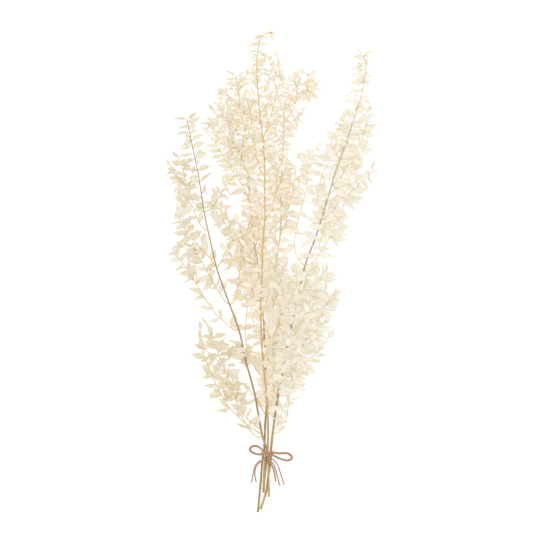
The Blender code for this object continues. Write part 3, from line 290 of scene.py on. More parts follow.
FIBRE_ROOT = 0.3  # of the strand's thickness, from its middle
FIBRE_RADIUS = (0.000055, 0.00003)
FIBRE_LOWEST = 0.00008
FIBRE_POINTS = 5
FIBRE_SIDES, FRAY_SIDES = 3, 4
FRAYS = 26  # fibres of a cut end
FRAY_LENGTH = (0.0016, 0.0042)
FRAY_RADIUS = (0.00019, 0.00006)
FRAY_ASIDE = 0.42  # how far they spread sideways, for each unit ahead
FRAY_UP = (0.05, 0.16)
FRAY_BEND = 0.12
FRAY_ROOTS = 0.7  # of the strand's thickness
FRAY_LOWEST = 0.00022
KNOT = (0.0078, 0.0102, 0.0044)
KNOT_ABOVE = 0.0010
KNOT_AT = -2.1
KNOT_RING_POINTS = 48
KNOT_RINGS = (
    (-0.0048, 0.50), (-0.0034, 0.42), (-0.0020, 0.34), (-0.0006, 0.30), (0.0008, 0.32),
    (0.0022, 0.36), (0.0036, 0.44),
)  # how far right each ring of the knot is, and how much it leans
KNOT_LEAN = -0.32
KNOT_RING_FULL = 1.03
KNOT_INSETS = (0.45, 0.30)  # of a strand: how far inside the knot's outline its rings run
KNOT_PER_SPAN = 12
KNOT_STRANDS = (
    ((-0.0042, 0.0024, 0), (-0.0015, 0.0010, 0.0010), (0.0015, -0.0006, 0.0012), (0.0042, -0.0022, 0)),
    ((-0.0042, -0.0016, 0), (-0.0010, -0.0004, 0.0002), (0.0012, 0.0012, 0.0004), (0.0042, 0.0018, 0)),
    ((-0.0036, -0.0052, -0.0002), (-0.0012, -0.0026, 0.0012), (0.0014, -0.0030, 0.0012),
     (0.0036, -0.0048, -0.0002)),
)  # strands that cross on top of the knot, in metres from its middle


def shoot(lift, *points):
    """A side shoot: how far its tip rises above its base, and its points across and along."""
    return {"lift": lift, "points": points}


# Each main stem has points (across, along, up) from its cut end to its tip.
STEMS = {
    "stem_left": {
        "radius": (0.0017, 0.0009),
        "leafy_from": 272,
        "route": (
            (2, -45.5, 4.2), (1.6, -24, 4.6), (1.2, -8, 5), (0, 0, 5), (-2, 8, 5.4),
            (-4.5, 15, 6.2), (-7, 28, 8), (-10, 45, 11), (-13, 61, 14), (-18.5, 81, 17),
            (-22.5, 96, 19), (-28, 122, 22), (-39, 152, 25), (-49, 180, 27), (-53, 195, 28),
            (-59, 222, 29), (-62.5, 239, 29), (-69, 280, 28), (-74, 303, 26), (-80, 332, 22),
        ),
        "shoots": (
            shoot(-18, (-62, 239), (-68, 244), (-77, 254), (-81, 262), (-84, 282), (-90, 298)),
            shoot(-8, (-77, 254), (-80, 264), (-90, 276), (-95, 286)),
            shoot(-13, (-59, 221), (-64, 224), (-68, 230), (-74, 244), (-79, 251), (-86, 249)),
            shoot(-22, (-51, 184), (-59, 196), (-69, 207), (-79, 219), (-86, 229), (-87, 238)),
            shoot(-15, (-37, 147), (-42, 151), (-47, 158), (-59, 179), (-68, 195), (-77, 208)),
            shoot(-20, (-28, 122), (-34, 123), (-46, 133), (-53, 140), (-64, 157), (-75, 175),
                  (-86, 191), (-95, 200)),
            shoot(-10, (-20, 84), (-28, 95), (-35, 106)),
            shoot(8, (-62, 239), (-54, 245), (-48, 254), (-41, 265), (-32, 276), (-27, 280)),
            shoot(8, (-50, 184), (-45, 192), (-41, 201), (-33, 214)),
            shoot(4, (-36, 147), (-32, 152), (-28.5, 169), (-26, 190), (-24, 209), (-29, 230)),
            shoot(4, (-18.5, 82), (-20, 102), (-22, 122), (-20, 145), (-24, 167)),
            shoot(-3, (-5.5, 17), (-17, 24.5), (-29, 35), (-39, 46), (-50, 65), (-59, 86),
                  (-64, 100), (-67, 122)),
            shoot(8, (-6, 21), (-15, 29), (-23, 37), (-33, 55), (-38, 72), (-48.5, 98), (-52.5, 113),
                  (-60, 127)),
            shoot(1, (-5, 15), (-9, 14), (-15, 19), (-26, 37), (-34, 62)),
        ),
    },
    "stem_centre_left": {
        "radius": (0.0016, 0.0008),
        "leafy_from": 290,
        "route": (
            (-9.1, -61, 1.1), (-6.8, -35, 1.6), (-4.5, -8, 2.6), (-3.2, 0, 2.6), (-2.6, 9, 2.6),
            (-1.8, 29, 3.2), (-0.7, 46, 4.2), (-2, 71, 6.5), (-1.5, 96, 9), (-2.5, 111, 10.5),
            (-4, 139, 13), (-7, 167, 15), (-8.5, 185, 16), (-12, 204, 17), (-14.5, 221, 18),
            (-16.5, 247, 19), (-17.5, 272, 20), (-19.5, 302, 21), (-22, 324, 21), (-26, 344, 20),
            (-31, 375, 17),
        ),
        "shoots": (
            shoot(3, (-16, 244), (-23, 264), (-32, 276), (-41, 291), (-48, 302), (-53, 312),
                  (-59, 318)),
            shoot(-4, (-17.5, 272), (-22, 286), (-27, 300), (-33, 309), (-36, 330)),
            shoot(-10, (-22, 287), (-31, 304), (-41, 317), (-50, 327), (-60, 334)),
            shoot(-8, (-22, 320), (-36, 330), (-45, 335), (-53, 340)),
            shoot(-3, (-36, 330), (-43, 341), (-50, 347)),
            shoot(-5, (-8, 180), (-22, 192), (-29, 207), (-41, 227), (-45, 235), (-50, 248)),
            shoot(2, (-7.5, 174), (-12, 176), (-15.5, 181), (-17, 188), (-19, 206)),
            shoot(-6, (-2.5, 111), (-9, 118), (-12, 123), (-16.5, 144)),
            shoot(1, (-2, 76), (-8, 78), (-14, 88), (-17, 98)),
            shoot(-1, (-1, 37), (-5, 43), (-9, 51), (-17, 61)),
            shoot(-8, (-12, 204), (-9, 214), (-8, 226), (-9, 240)),
        ),
    },
    "stem_centre": {
        "radius": (0.0019, 0.0008),
        "leafy_from": 338,
        "route": (
            (-3.5, -41, 6.6), (-1.8, -8, 7.4), (0.3, 0, 7.4), (1, 12, 8), (0.8, 32, 11), (0, 52, 15),
            (-2.5, 77, 20), (-5, 107, 26), (-6.3, 140, 32), (-6, 160, 35), (-5, 176, 37),
            (-4.2, 208, 41), (-1.8, 236, 43), (-2.5, 252, 44), (-2.3, 287, 45), (-4.5, 315, 44),
            (-6.5, 334, 43), (-10, 372, 39), (-10, 392, 36), (-7, 411, 33), (-2, 417, 32),
            (5, 419, 31),
        ),
        "shoots": (
            shoot(-8, (-6, 327), (-17, 333), (-27, 344), (-37, 354), (-46, 364)),
            shoot(-6, (-6.5, 150), (-11, 153.5), (-14, 159), (-16.2, 182)),
            shoot(-3, (-3, 276), (-8, 283), (-11, 290), (-13.6, 317), (-17, 340), (-21, 352)),
            shoot(2, (-1.5, 235), (2, 238), (6, 244), (9, 257), (10, 277), (8, 294)),
            shoot(-4, (-4, 312), (3, 332), (8, 352), (13, 370), (10, 394)),
        ),
    },
    "stem_centre_right": {
        "radius": (0.0017, 0.0008),
        "leafy_from": 300,
        "route": (
            (-3.5, -35, 2), (0.2, 0, 2.6), (1, 12, 3.2), (0.5, 52, 8.5), (1, 87, 12), (2.5, 117, 14),
            (4, 140, 16), (7, 168, 18), (10, 194, 20), (13.7, 222, 22), (14, 242, 23),
            (14.7, 280, 25), (16.7, 315, 26), (17, 338, 26), (19, 343, 26), (24, 351, 26),
            (33, 359.5, 25), (38, 361, 24), (44, 361, 22),
        ),
        "shoots": (
            shoot(-6, (14, 235), (19, 238.5), (24.5, 252), (26, 260), (29, 283)),
            shoot(4, (13.5, 221), (17, 224.5), (20, 238), (19, 264)),
            shoot(-4, (1, 87), (7, 100), (10, 114), (9, 130)),
            shoot(-8, (16.8, 318), (23, 328), (29, 334), (35, 340)),
            shoot(6, (2, 105), (8, 118), (12, 128), (15, 142)),
            shoot(7, (4.5, 146), (10, 158), (14, 172), (16, 186)),
            shoot(-2, (30, 357.5), (28.5, 367), (26.5, 374)),
            shoot(2, (41, 361), (39.5, 367), (41, 374)),
        ),
    },
    "stem_right": {
        "radius": (0.0018, 0.0008),
        "leafy_from": 296,
        "route": (
            (-6.5, -58, 1.2), (-0.7, -40, 1.5), (1.6, -24, 1.9), (3.7, -8, 2.6), (3.9, 0, 2.6),
            (5.8, 19, 4), (9, 43, 8), (13, 65, 11), (18, 92, 15), (22.5, 117, 18), (28, 143, 21),
            (33, 166, 23), (38.5, 188, 25), (47.5, 212, 27), (52.5, 227, 28), (59.5, 250, 29),
            (68.8, 281, 30), (79, 310, 30), (88.5, 338, 29), (96, 364, 26), (99, 388, 23),
            (96, 396, 21),
        ),
        "shoots": (
            shoot(6, (38, 186), (33, 191), (27.5, 203), (28.5, 219), (34.5, 245), (39.8, 265),
                  (42, 294), (46, 303)),
            shoot(-14, (57, 242), (53, 246), (50.5, 257), (55, 277), (62.3, 291), (70, 314), (73, 326)),
            shoot(-16, (62, 257), (67.5, 263), (74, 274), (87.5, 300), (94.5, 313), (100, 332)),
            shoot(-20, (38.5, 187), (44, 188), (49, 193), (60, 210), (70, 233), (81, 254), (95, 271),
                  (107, 281)),
            shoot(8, (30, 152), (38, 167), (48.5, 185), (51, 200), (59, 237), (67, 252)),
            shoot(-6, (10.5, 52), (14.5, 66), (18, 73), (31, 81), (42, 92), (53, 103), (61, 114)),
            shoot(6, (5.7, 18), (14, 21), (19.5, 32), (23, 59), (30, 92), (36, 106), (46.5, 132),
                  (53, 152)),
            shoot(-5, (36, 106), (48, 127), (57, 141), (65, 156)),
            shoot(6, (20, 102), (24, 109), (31, 124), (41, 145), (51, 168), (57, 176)),
            shoot(-3, (10.5, 52), (10, 64), (14, 89), (21, 114), (23.5, 140), (23, 152), (17, 179),
                  (12, 189)),
            shoot(0, (5.8, 19), (13.7, 35.5), (16, 44)),
        ),
    },
}

# The bow's strands, as (across, along, up) in grid squares from the tie.
STRANDS = {
    "bow_left_outer": (
        (-2.6, 0.4, 10.6), (-4.2, 1.6, 10.2), (-6.4, 4, 7.4), (-9.4, 5.8, 3.2), (-12.6, 6.2, 0.9),
        (-15.6, 5.4, 0.6), (-17.8, 3, 0.6), (-17.2, 0, 0.6), (-14.2, -2.2, 0.7), (-10.8, -3.2, 2.6),
        (-7.6, -3.4, 6.2), (-5, -3.3, 9.4), (-2.6, -3.2, 10.6),
    ),
    "bow_left_inner": (
        (-2.6, -0.8, 10.6), (-4.3, 0, 10.2), (-6.8, 2.3, 7.2), (-9.6, 3.9, 3.3), (-12.6, 4.4, 0.9),
        (-14.8, 3.8, 0.6), (-15.8, 2.2, 0.6), (-14.8, 0.3, 0.6), (-12.4, -0.9, 1.2),
        (-9.8, -1.5, 3.8), (-7, -1.8, 7.4), (-4.8, -2, 9.8), (-2.6, -2, 10.6),
    ),
    "bow_right_outer": (
        (2.6, 0.4, 10.6), (4.4, 0.4, 10.2), (7.4, -0.4, 8), (11.2, -0.8, 4.2), (15, -0.6, 1.2),
        (19, 0, 0.6), (23, -0.8, 0.6), (25.6, -3.4, 0.6), (25, -6.6, 0.6), (21.4, -8.6, 0.6),
        (17, -8.6, 0.7), (12.8, -7.4, 3), (9, -5.6, 6.4), (5.4, -3.8, 9.6), (2.6, -3.2, 10.6),
    ),
    "bow_right_inner": (
        (2.6, -0.8, 10.6), (4.6, -1, 10.2), (7.8, -1.9, 7.8), (11.6, -2.6, 4), (15.2, -2.4, 1.2),
        (19, -2, 0.6), (22, -2.6, 0.6), (23.4, -4.2, 0.6), (22.6, -6, 0.6), (19.8, -6.8, 0.6),
        (16.6, -6.7, 0.9), (12.8, -5.6, 3.4), (9, -4, 6.8), (5.4, -2.4, 9.8), (2.6, -2, 10.6),
    ),
    "tail_left_outer": (
        (-1.9, -5.9, 10.2), (-3.2, -7, 9.8), (-5.6, -8.6, 8), (-8.4, -10.2, 4.6), (-11, -12.4, 1.4),
        (-12.8, -16, 0.6), (-13.8, -20.5, 0.6), (-14.4, -25, 0.6), (-15.8, -30.5, 0.6),
    ),
    "tail_left_inner": (
        (-0.7, -5.9, 10.2), (-2, -7.6, 9.9), (-4.6, -9.8, 8.2), (-7.2, -12, 4.8), (-9.4, -14.6, 1.4),
        (-10.9, -18, 0.6), (-11.8, -22, 0.6), (-11.6, -26, 0.6), (-11, -29.5, 0.6),
    ),
    "tail_right_inner": (
        (0.5, -5.9, 10.2), (1.2, -8, 10), (3.4, -11.4, 8.4), (5.4, -15, 4.6), (6.6, -18.4, 1.2),
        (7.4, -21.6, 0.6), (8, -25, 0.6), (8.6, -29, 0.6),
    ),
    "tail_right_middle": (
        (1.7, -5.9, 10.2), (3, -8, 9.9), (5.8, -11, 8), (8, -14, 4.4), (9.4, -17.6, 1.2),
        (10.2, -21.5, 0.6), (11.2, -26, 0.6), (12.5, -33.5, 0.6),
    ),
    "tail_right_outer": (
        (2.65, -4.4, 10.4), (4.4, -6.4, 10), (7.6, -9.6, 8), (10.2, -12.6, 4.4), (11.8, -16.4, 1.2),
        (13, -20.5, 0.6), (15, -26.4, 0.6), (17, -32.5, 0.6),
    ),
}


# Leaves that were drawn one by one: across and along the sheet at the root and at the tip, and
# the width as seen from above, in squares from the sheet's upper left corner.
DRAWN = (
    # The left stem, on its left and on its right
    (185, 120, 172.5, 119, 4), (187, 122, 175, 125, 2), (187, 125, 177, 128.5, 4),
    (189, 133, 173.5, 135.5, 4.5), (190, 138, 184, 133, 4), (193, 146, 176, 150, 3.5),
    (190, 139, 181, 147, 6), (194, 154, 177.5, 157.5, 3), (195, 160, 188, 161, 2),
    (197, 171, 184, 172, 6), (199, 176, 187, 180, 3.5), (200, 181, 190, 187, 6),
    (203, 197, 193, 200, 7), (187, 119, 198, 114, 2), (188, 123, 201, 117, 5),
    (189, 129, 197, 124, 5.5), (189, 134, 198, 130, 3), (192, 141, 206, 134.5, 4),
    (193, 148, 205, 142.5, 6), (194, 156, 205, 150, 2.5), (195, 159, 209, 153.5, 7),
    (198, 164, 202, 161, 2), (197.5, 171, 212, 166, 5), (200, 182, 213.5, 172, 5.5),
    (203, 194, 206, 183, 4),
    # Its shoot to the right
    (213, 204, 203, 202, 5), (213, 206, 205, 209, 4), (218, 198, 210, 186.5, 4.5),
    (217, 192, 216, 186, 2), (214, 204, 212, 195, 4), (219, 202, 226, 216, 5),
    (217, 207, 221, 212, 4), (219, 198, 229, 200, 2.5), (227, 191, 232, 196, 3),
    (226, 187, 222, 177, 4.5), (229, 184, 225, 179, 2.5), (229, 185, 238, 187, 4),
    (222, 193, 221, 189, 3),
    # Its shoots to the upper left
    (178, 158, 172, 151, 1.5), (181, 165, 170, 160, 3.5), (183, 166, 186, 158, 4),
    (183, 169, 192, 164, 2.5), (176, 176, 169, 166, 6), (177, 177, 166.5, 177, 2),
    (186, 181, 169.5, 185, 5), (185, 184, 176, 187, 4), (182, 176, 176, 171, 4),
    (182, 178, 183, 170, 3), (186, 194, 174.5, 194.5, 5), (190, 198, 184, 190, 5),
    (192, 195, 188, 184, 4), (189, 203, 183.5, 196, 5), (190, 206, 180, 202, 5),
    (181, 210, 175, 201, 3.5), (180, 215, 173, 214, 6), (191, 208, 181, 218, 7),
    (197, 220, 187, 217, 4), (199, 224, 201, 211, 3.5),
    # Its shoots to the left
    (181, 223, 168, 226, 2), (184, 224, 189, 219, 3), (183, 228, 174.5, 230, 5),
    (186, 229, 192, 223, 5), (190, 231, 194, 224, 5), (185, 234, 176, 233, 5),
    (187, 239, 176, 243, 6), (192, 238, 197, 232, 5), (195, 241, 202.5, 231, 5),
    (192, 244, 182, 246, 5), (201, 249, 206.5, 234, 5), (196, 249, 188, 246, 4),
    (198, 253, 187, 252, 4), (203, 256, 209, 251, 4), (202, 259, 206, 252, 5),
    (201, 262, 190, 256, 5), (201, 264, 186, 262, 5), (208, 270, 213, 262, 6),
    (207, 273, 190, 270, 4), (209, 277, 198.5, 284, 4), (211, 284, 204, 284, 4),
    (211, 284, 203, 292, 5), (211, 274, 217, 270, 4), (209, 274, 215, 281, 3),
    (217, 288, 219, 278, 4), (217, 290, 211, 290, 2.5), (222, 293, 227, 281, 4),
    (174, 256, 166.5, 256, 2), (176, 256, 169, 246, 3), (178, 257, 180, 247, 3),
    (180, 260, 169, 261, 4.5), (181, 261, 185, 252, 4.5), (186, 267, 174, 271, 3),
    (188, 270, 191, 260, 5), (189, 275, 177, 274, 5.5), (192, 276, 196, 271, 4),
    (194, 281, 187, 275, 3), (204, 297, 187, 288, 5), (204, 299, 193, 301.5, 2.5),
    (208, 303, 214, 309, 2.5), (211, 309, 197, 306, 5), (221, 319, 219, 307, 4),
    (218, 318, 207, 321.5, 4),
    # Its low shoots
    (201, 345, 199, 326, 4), (202, 350, 194, 344, 5), (201, 348, 201, 337, 4),
    (204, 357, 190, 354, 6), (206, 362, 202, 357, 5), (207, 371, 200, 366.5, 6),
    (211, 378, 201.5, 379, 5), (219, 396, 207.5, 396.5, 6), (218, 392, 213, 389, 2),
    (213, 337, 205, 322, 4.5), (214, 338, 208, 329, 2.5), (214, 339, 201, 336.5, 3.5),
    (214, 342, 204, 343, 4), (215, 338, 227, 334, 4.5), (217, 345, 227, 337, 3.5),
    (216, 348, 219, 339, 3), (218, 348, 232, 349, 6), (215, 350, 203, 346, 5),
    (219, 356, 205, 359, 6), (220, 356, 231, 352, 5), (234, 353, 231, 344, 3),
    (236, 353, 237, 341, 3.5), (231, 375, 241, 369, 8), (232, 375, 241, 377, 3),
    (229, 386, 248, 383, 5), (231, 390, 236, 385, 2), (231, 383, 239, 381, 5),
    (234, 395, 245, 393, 3.5), (236, 403, 249, 391, 5), (229, 410, 219, 398, 4),
    (229, 411, 215, 411.5, 2.3), (241, 415, 246, 406, 6), (238, 413, 230, 404, 4),
    (249, 418, 251, 408, 2.5), (250, 427, 254, 418, 3), (244, 429, 234.5, 424, 4),
    (249, 432, 243, 427, 2),
    # The tip of the tallest stem
    (262, 38, 252.5, 40, 3), (266, 34, 272.5, 28, 4), (272, 32.5, 281.5, 29, 1.3),
    (272, 34, 279.5, 36, 1.3), (269, 33, 273.5, 42, 2.5), (262, 39, 270, 38, 2.5),
    (261, 43, 265, 38, 2.5), (259, 45, 253, 43, 2.5), (259, 48, 247, 48.5, 3.5),
    (259, 47.5, 266, 48, 3.5), (266, 48, 271, 51, 1), (257.5, 55, 244.5, 55, 2.5),
    (258, 54, 269, 59, 3), (258, 55, 265, 55, 1.5), (257, 60, 248, 59.5, 2),
    (256.5, 62, 251, 62, 2), (257, 65, 264, 62, 4), (257, 68, 263, 65, 3),
    (256, 68, 245, 71, 3), (256.5, 75, 250, 75, 2.5), (266, 71, 264, 62, 4),
    (269, 70, 267, 60, 3), (276, 69, 278, 59, 4), (277, 68, 282, 66, 1),
    (276, 74, 284, 72.5, 4), (279, 75, 283, 86, 3), (257, 82, 247, 86, 4),
    # The tip of the stem on its left, and the shoots below that
    (236, 75, 224, 70.5, 1.6), (236, 78, 223, 78.5, 2.5), (236, 75.5, 246, 72, 1.5),
    (236, 80, 249, 75.5, 2), (237, 83, 222, 83.5, 4.5), (237, 87, 225, 83, 4),
    (238, 84, 249, 78.5, 3), (239, 92, 246, 84, 4), (222, 90, 219.5, 80, 2),
    (222, 92, 213.5, 91.5, 2.2), (223, 93, 217, 97, 2.5), (226, 97, 219, 100, 3),
    (223, 93, 225, 88, 2), (217, 105, 211, 101.5, 2), (215, 110, 207, 105, 2.8),
    (222, 107, 217, 102.5, 2.5), (218, 112, 212, 114.5, 2), (213, 121, 199, 124, 3),
    (213, 121, 205, 117, 2), (214, 122, 206.5, 128, 2.5), (216, 126, 210, 130.5, 2),
    (218, 123, 219, 116, 3), (220, 131, 207.5, 133, 3.5), (222, 134, 213, 136, 4),
    (215, 143, 220, 139, 2), (217, 147, 204.5, 147, 3.5), (219, 152, 207, 151, 4.5),
    (222, 156, 211, 158, 4), (226, 163, 215, 162, 2.5), (229, 168, 217, 166, 5),
    (235, 177, 221, 176, 6),
    # The stem right of the middle, whose tip arches over
    (296, 84, 293, 74.5, 2.5), (293, 88, 296, 82, 3), (301, 90, 301, 77, 5),
    (308, 89, 305, 79, 4), (308, 88, 310, 78, 4), (307, 78, 314.5, 71, 2),
    (309, 80, 316, 80, 1.5), (312, 89, 318, 83, 3), (313, 91, 319, 101.5, 2.5),
    (309, 93, 313.5, 102, 4), (305, 92, 307, 103, 4), (302, 93, 304, 104, 4),
    (298, 96, 301, 105, 4), (299, 109, 308, 105.5, 3), (285, 90, 294, 95, 4),
    (291, 99, 283, 96, 3), (287, 107, 283, 101, 3), (291, 107, 294.5, 118, 4),
    (297, 108, 296, 117, 4), (298, 117, 307, 114, 2.5), (295, 118, 300, 120, 2),
    (294, 121, 305, 125.5, 3), (297, 122, 298.5, 129, 2.5), (289, 129, 295.5, 136, 3),
    (286, 137, 295.5, 138, 4), (284, 146, 293, 145, 5), (285, 152, 291, 149, 3),
    (287, 167, 295, 163, 2.5), (288, 169, 299, 169, 3), (286, 176, 296, 173, 3),
    # The thin shoot between it and the right stem
    (304, 159, 298, 153, 4), (307, 158, 305, 150, 3), (308, 158, 310, 148, 3),
    (312, 155, 316, 149, 3), (312, 160, 314, 152, 5), (308, 166, 296, 158, 6),
    (327, 159, 317, 156, 7.5), (325, 166, 310, 163.5, 6), (320, 174, 310, 172, 6),
    (307, 175, 298, 170, 5), (297, 181, 309.5, 178, 4), (307, 183, 298, 184, 6),
    (293.5, 191, 291, 179, 3), (304.5, 195, 293.5, 188, 6), (295, 199, 307, 203, 7),
    (307, 190, 317, 196, 6), (317, 195, 317.5, 184, 5), (313, 196, 310.5, 205, 3),
    (318, 197, 323, 198, 2), (320, 185, 328, 190, 2), (297, 174, 285, 179, 2.5),
    (287, 179, 295, 181, 3), (297, 169, 285, 173, 3), (285, 169, 294, 164, 3),
    (301, 212, 310, 218, 5), (298, 218, 290, 213, 4), (297, 223, 289.5, 226, 6),
    (295, 233, 280, 232, 6.5), (295, 234, 305, 235, 3.5), (293, 246, 281, 258, 5),
    (293, 248, 287.5, 244, 3),
    # The tip of the right stem
    (361.5, 54, 357.5, 48, 1.8), (362, 56, 351, 58.5, 4), (363, 56, 370, 52.5, 3),
    (371, 52, 375.5, 51.5, 1.3), (366, 57, 369, 57, 1), (366, 61, 369, 61, 2.5),
    (369, 62, 371.5, 68, 2.5), (366, 63, 349.5, 71.5, 4.5), (362, 64, 363, 61, 1),
    (366, 70, 356, 69, 2), (366, 76, 350.5, 76.5, 8), (364, 83, 355, 80, 3),
    (356, 80, 355, 86, 2), (366, 72, 378.5, 81, 3.5), (366, 75, 369, 75, 3),
    (365, 82, 370, 82, 3), (364.5, 84, 370, 87.5, 3), (362, 92, 344.5, 99, 4),
    (361, 97, 371, 105, 5), (358, 102, 341, 109, 6.5), (355, 111, 339, 121, 5),
    (360, 106, 366, 105, 3.5), (363, 108, 369, 113, 3), (358, 115, 368, 111, 4),
    (366, 115, 377.5, 112.5, 2.8), (360, 121, 368, 125, 5), (365, 130, 380.5, 125, 4),
    (365, 135, 375.5, 137, 6), (362, 139, 370, 146, 5), (359, 149, 369, 147, 6),
    # Its shoots
    (340, 124, 334, 122, 3), (341, 130, 335, 131, 4), (337, 136, 324.5, 133, 5),
    (337, 140, 338, 137, 2), (342, 130, 352, 124, 3), (350, 140, 341, 131, 6),
    (350, 136, 362, 134, 8), (352, 129, 352, 121, 3), (333, 151, 325, 143, 6),
    (333, 150, 331, 141, 4), (334, 148, 337, 140, 3), (347, 148, 344, 142, 5),
    (334, 158, 329, 154, 4), (335, 158, 338, 150, 4), (341, 159, 359, 170, 6),
    (341, 158, 357, 155, 7), (355, 154, 363, 164, 6), (348, 168, 360, 179, 6),
    (346, 170, 350, 182, 6), (339, 181, 352, 181, 3), (340, 182, 349, 190, 7),
    (352, 179, 359, 182, 3), (361, 180, 364, 176, 3), (364, 181, 370, 192, 4),
    (369, 176, 373, 184, 2), (367, 174, 365, 171, 3), (368, 173, 371, 171, 3),
    (374, 172, 377, 159.5, 4), (374, 172, 380.5, 172, 1.8), (357, 185, 364, 195, 5),
    (355, 190, 347, 188, 5), (353, 195, 364, 205, 4.5), (335, 201, 347, 198, 6),
    (331, 204, 324, 195, 6), (324, 175, 327, 182, 3), (344, 203, 359, 200, 6),
    (347, 204, 356, 212, 4), (342, 209, 357, 224, 6), (337, 212, 334, 204, 6),
    (334, 210, 327, 210, 4), (333, 211, 326, 215, 6), (328, 219, 341, 224, 5),
    (338, 227, 354, 224, 6.5), (323, 226, 339, 229.5, 6), (323, 233, 335, 238, 8),
    (333, 238, 339, 249, 4), (321, 223, 306, 219, 6.5), (319, 243, 313, 235, 4),
    (319, 247, 330, 250, 5), (318, 248, 312, 246, 4), (309, 241, 298, 253, 3.5),
    (316, 255, 301, 258, 5), (319, 255, 337, 258, 6), (317, 267, 314, 278, 7),
    (318, 266, 323, 265, 2), (324, 277, 323, 262, 2), (326, 277, 327, 260, 2),
    (329, 276, 338.5, 276, 1.6), (325, 283, 339, 279, 5), (327, 289, 337, 287, 3),
    (333, 295, 343.5, 292, 4.5), (333, 297, 338, 301, 4), (330, 304.5, 336.5, 310, 5),
    (300, 275, 290, 265, 6), (305, 271, 303, 283, 6), (330, 287, 312, 289, 3),
    (328, 305, 313, 297, 8), (328, 298, 314, 292, 6), (308, 303, 300, 290, 4),
    # Its low shoots
    (321, 319, 338.5, 325, 8), (320, 321, 324, 325, 3), (318, 325, 325, 329, 4),
    (304, 320, 312, 313, 5), (300, 330, 311, 328, 4), (309, 330, 321, 332, 5),
    (311, 336, 328, 338, 6), (316, 351, 329.5, 338, 5), (314, 352, 311, 337, 4),
    (316, 350, 326, 349, 3), (316, 352, 329, 358, 3), (313, 357, 325, 358, 2),
    (298, 335, 320, 337, 5), (310, 362, 322.5, 361.5, 3.5), (303, 362, 316.5, 375, 5),
    (299, 371, 310, 375.5, 3), (297, 372, 308, 380.5, 5), (294, 381, 306, 385, 5),
    (291, 400, 305, 395.5, 2.5), (285, 409, 296, 402, 4.5), (287, 410, 287, 420, 3.5),
    (275, 427, 288, 421, 5), (281, 432, 285, 426, 2), (276, 402, 279, 413, 5),
    (281, 400, 285, 409, 4), (287, 391, 287, 405, 3), (280, 379, 284, 391, 7),
    (297, 369, 284, 372, 8), (288, 361, 300, 358, 3), (271, 400, 276, 410, 4),
)


def metres(points):
    """Grid points in metres from the origin, which is below the middle of the bunch."""
    return (np.array(points, float) - (*ORIGIN, 0)) * SQUARE


def along_of(squares):
    """How far along the bunch, in metres from the origin, a count of squares from the tie is."""
    return (squares - ORIGIN[1]) * SQUARE


def smooth(points, per_span=8):
    """A Catmull-Rom curve through the points."""
    p = np.asarray(points, float)
    ends = np.vstack([2 * p[0] - p[1], p, 2 * p[-1] - p[-2]])
    out = []
    for a, b, c, d in zip(ends[:-3], ends[1:-2], ends[2:-1], ends[3:]):
        for t in np.arange(per_span) / per_span:
            out.append(0.5 * (2 * b + (c - a) * t + (2 * a - 5 * b + 4 * c - d) * t**2
                              + (3 * b - a - 3 * c + d) * t**3))
    out.append(p[-1])
    return np.array(out)


def lengths(line):
    """How far along the line each of its points is."""
    return np.concatenate([[0], np.cumsum(np.linalg.norm(np.diff(line, axis=0), axis=1))])


def at_length(line, where):
    """The line's points at the given distances along it."""
    along = lengths(line)
    return np.stack([np.interp(where, along, line[:, k]) for k in range(3)], axis=-1)


def spaced(line, step):
    """The line again, with points about one step apart."""
    total = lengths(line)[-1]
    return at_length(line, np.linspace(0, total, max(3, round(total / step) + 1)))


def unit(v):
    return v / np.linalg.norm(v)


def units(rows):
    return rows / np.linalg.norm(rows, axis=1)[:, None]


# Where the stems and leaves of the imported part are


def shoot_line(data, lines):
    """A side shoot's smooth curve, from the nearest point on the stem that bears it."""
    flat = np.array(data["points"], float)
    best = None
    for line in lines:
        fine = spaced(line, 1.0)
        away = np.linalg.norm(fine[:, :2] - flat[0], axis=1)
        if best is None or away.min() < best[0] - SHOOT_NEARER:
            best = (away.min(), fine[away.argmin()])
    base = best[1]
    flat[0] = base[:2]
    steps = np.linalg.norm(np.diff(flat, axis=0), axis=1)
    share = lengths(flat) / steps.sum()
    up = base[2] + data["lift"] * share + ARCH * steps.sum() * np.sin(math.pi * share)
    return smooth(np.column_stack([flat, np.maximum(up, SHOOT_LOWEST)]))


def stem_lines():
    """For each stem, (coarse, fine) lines in metres: the main one first, then its side shoots."""
    out = {}
    for name, stem in STEMS.items():
        fine = [smooth(stem["route"])]
        coarse = [spaced(fine[0], STEM_STEP)]
        for data in stem["shoots"]:
            coarse.append(spaced(shoot_line(data, coarse), SHOOT_STEP))
            fine.append(shoot_line(data, fine))
        fine = [spaced(line, FINE_STEP) for line in fine]
        out[name] = [(metres(rough), metres(line)) for rough, line in zip(coarse, fine)]
    return out


def leaf_template():
    """A closed spindle with three sides: each vertex's ring and side, and its faces."""
    bm = bmesh.new()
    bmesh.ops.create_uvsphere(bm, u_segments=3, v_segments=len(STATIONS) - 1, radius=1)
    bmesh.ops.triangulate(bm, faces=bm.faces)
    rings = []
    for v in bm.verts:
        ring = round(math.acos(max(-1, min(1, -v.co.z))) / math.pi * (len(STATIONS) - 1))
        side = round(math.atan2(v.co.y, v.co.x) / (2 * math.pi / 3)) % 3
        rings.append((ring, side))
    faces = [tuple(v.index for v in f.verts) for f in bm.faces]
    bm.free()
    return rings, faces


RINGS, FACES = leaf_template()
BLADE = [i for i, (ring, side) in enumerate(RINGS) if ring > 1]


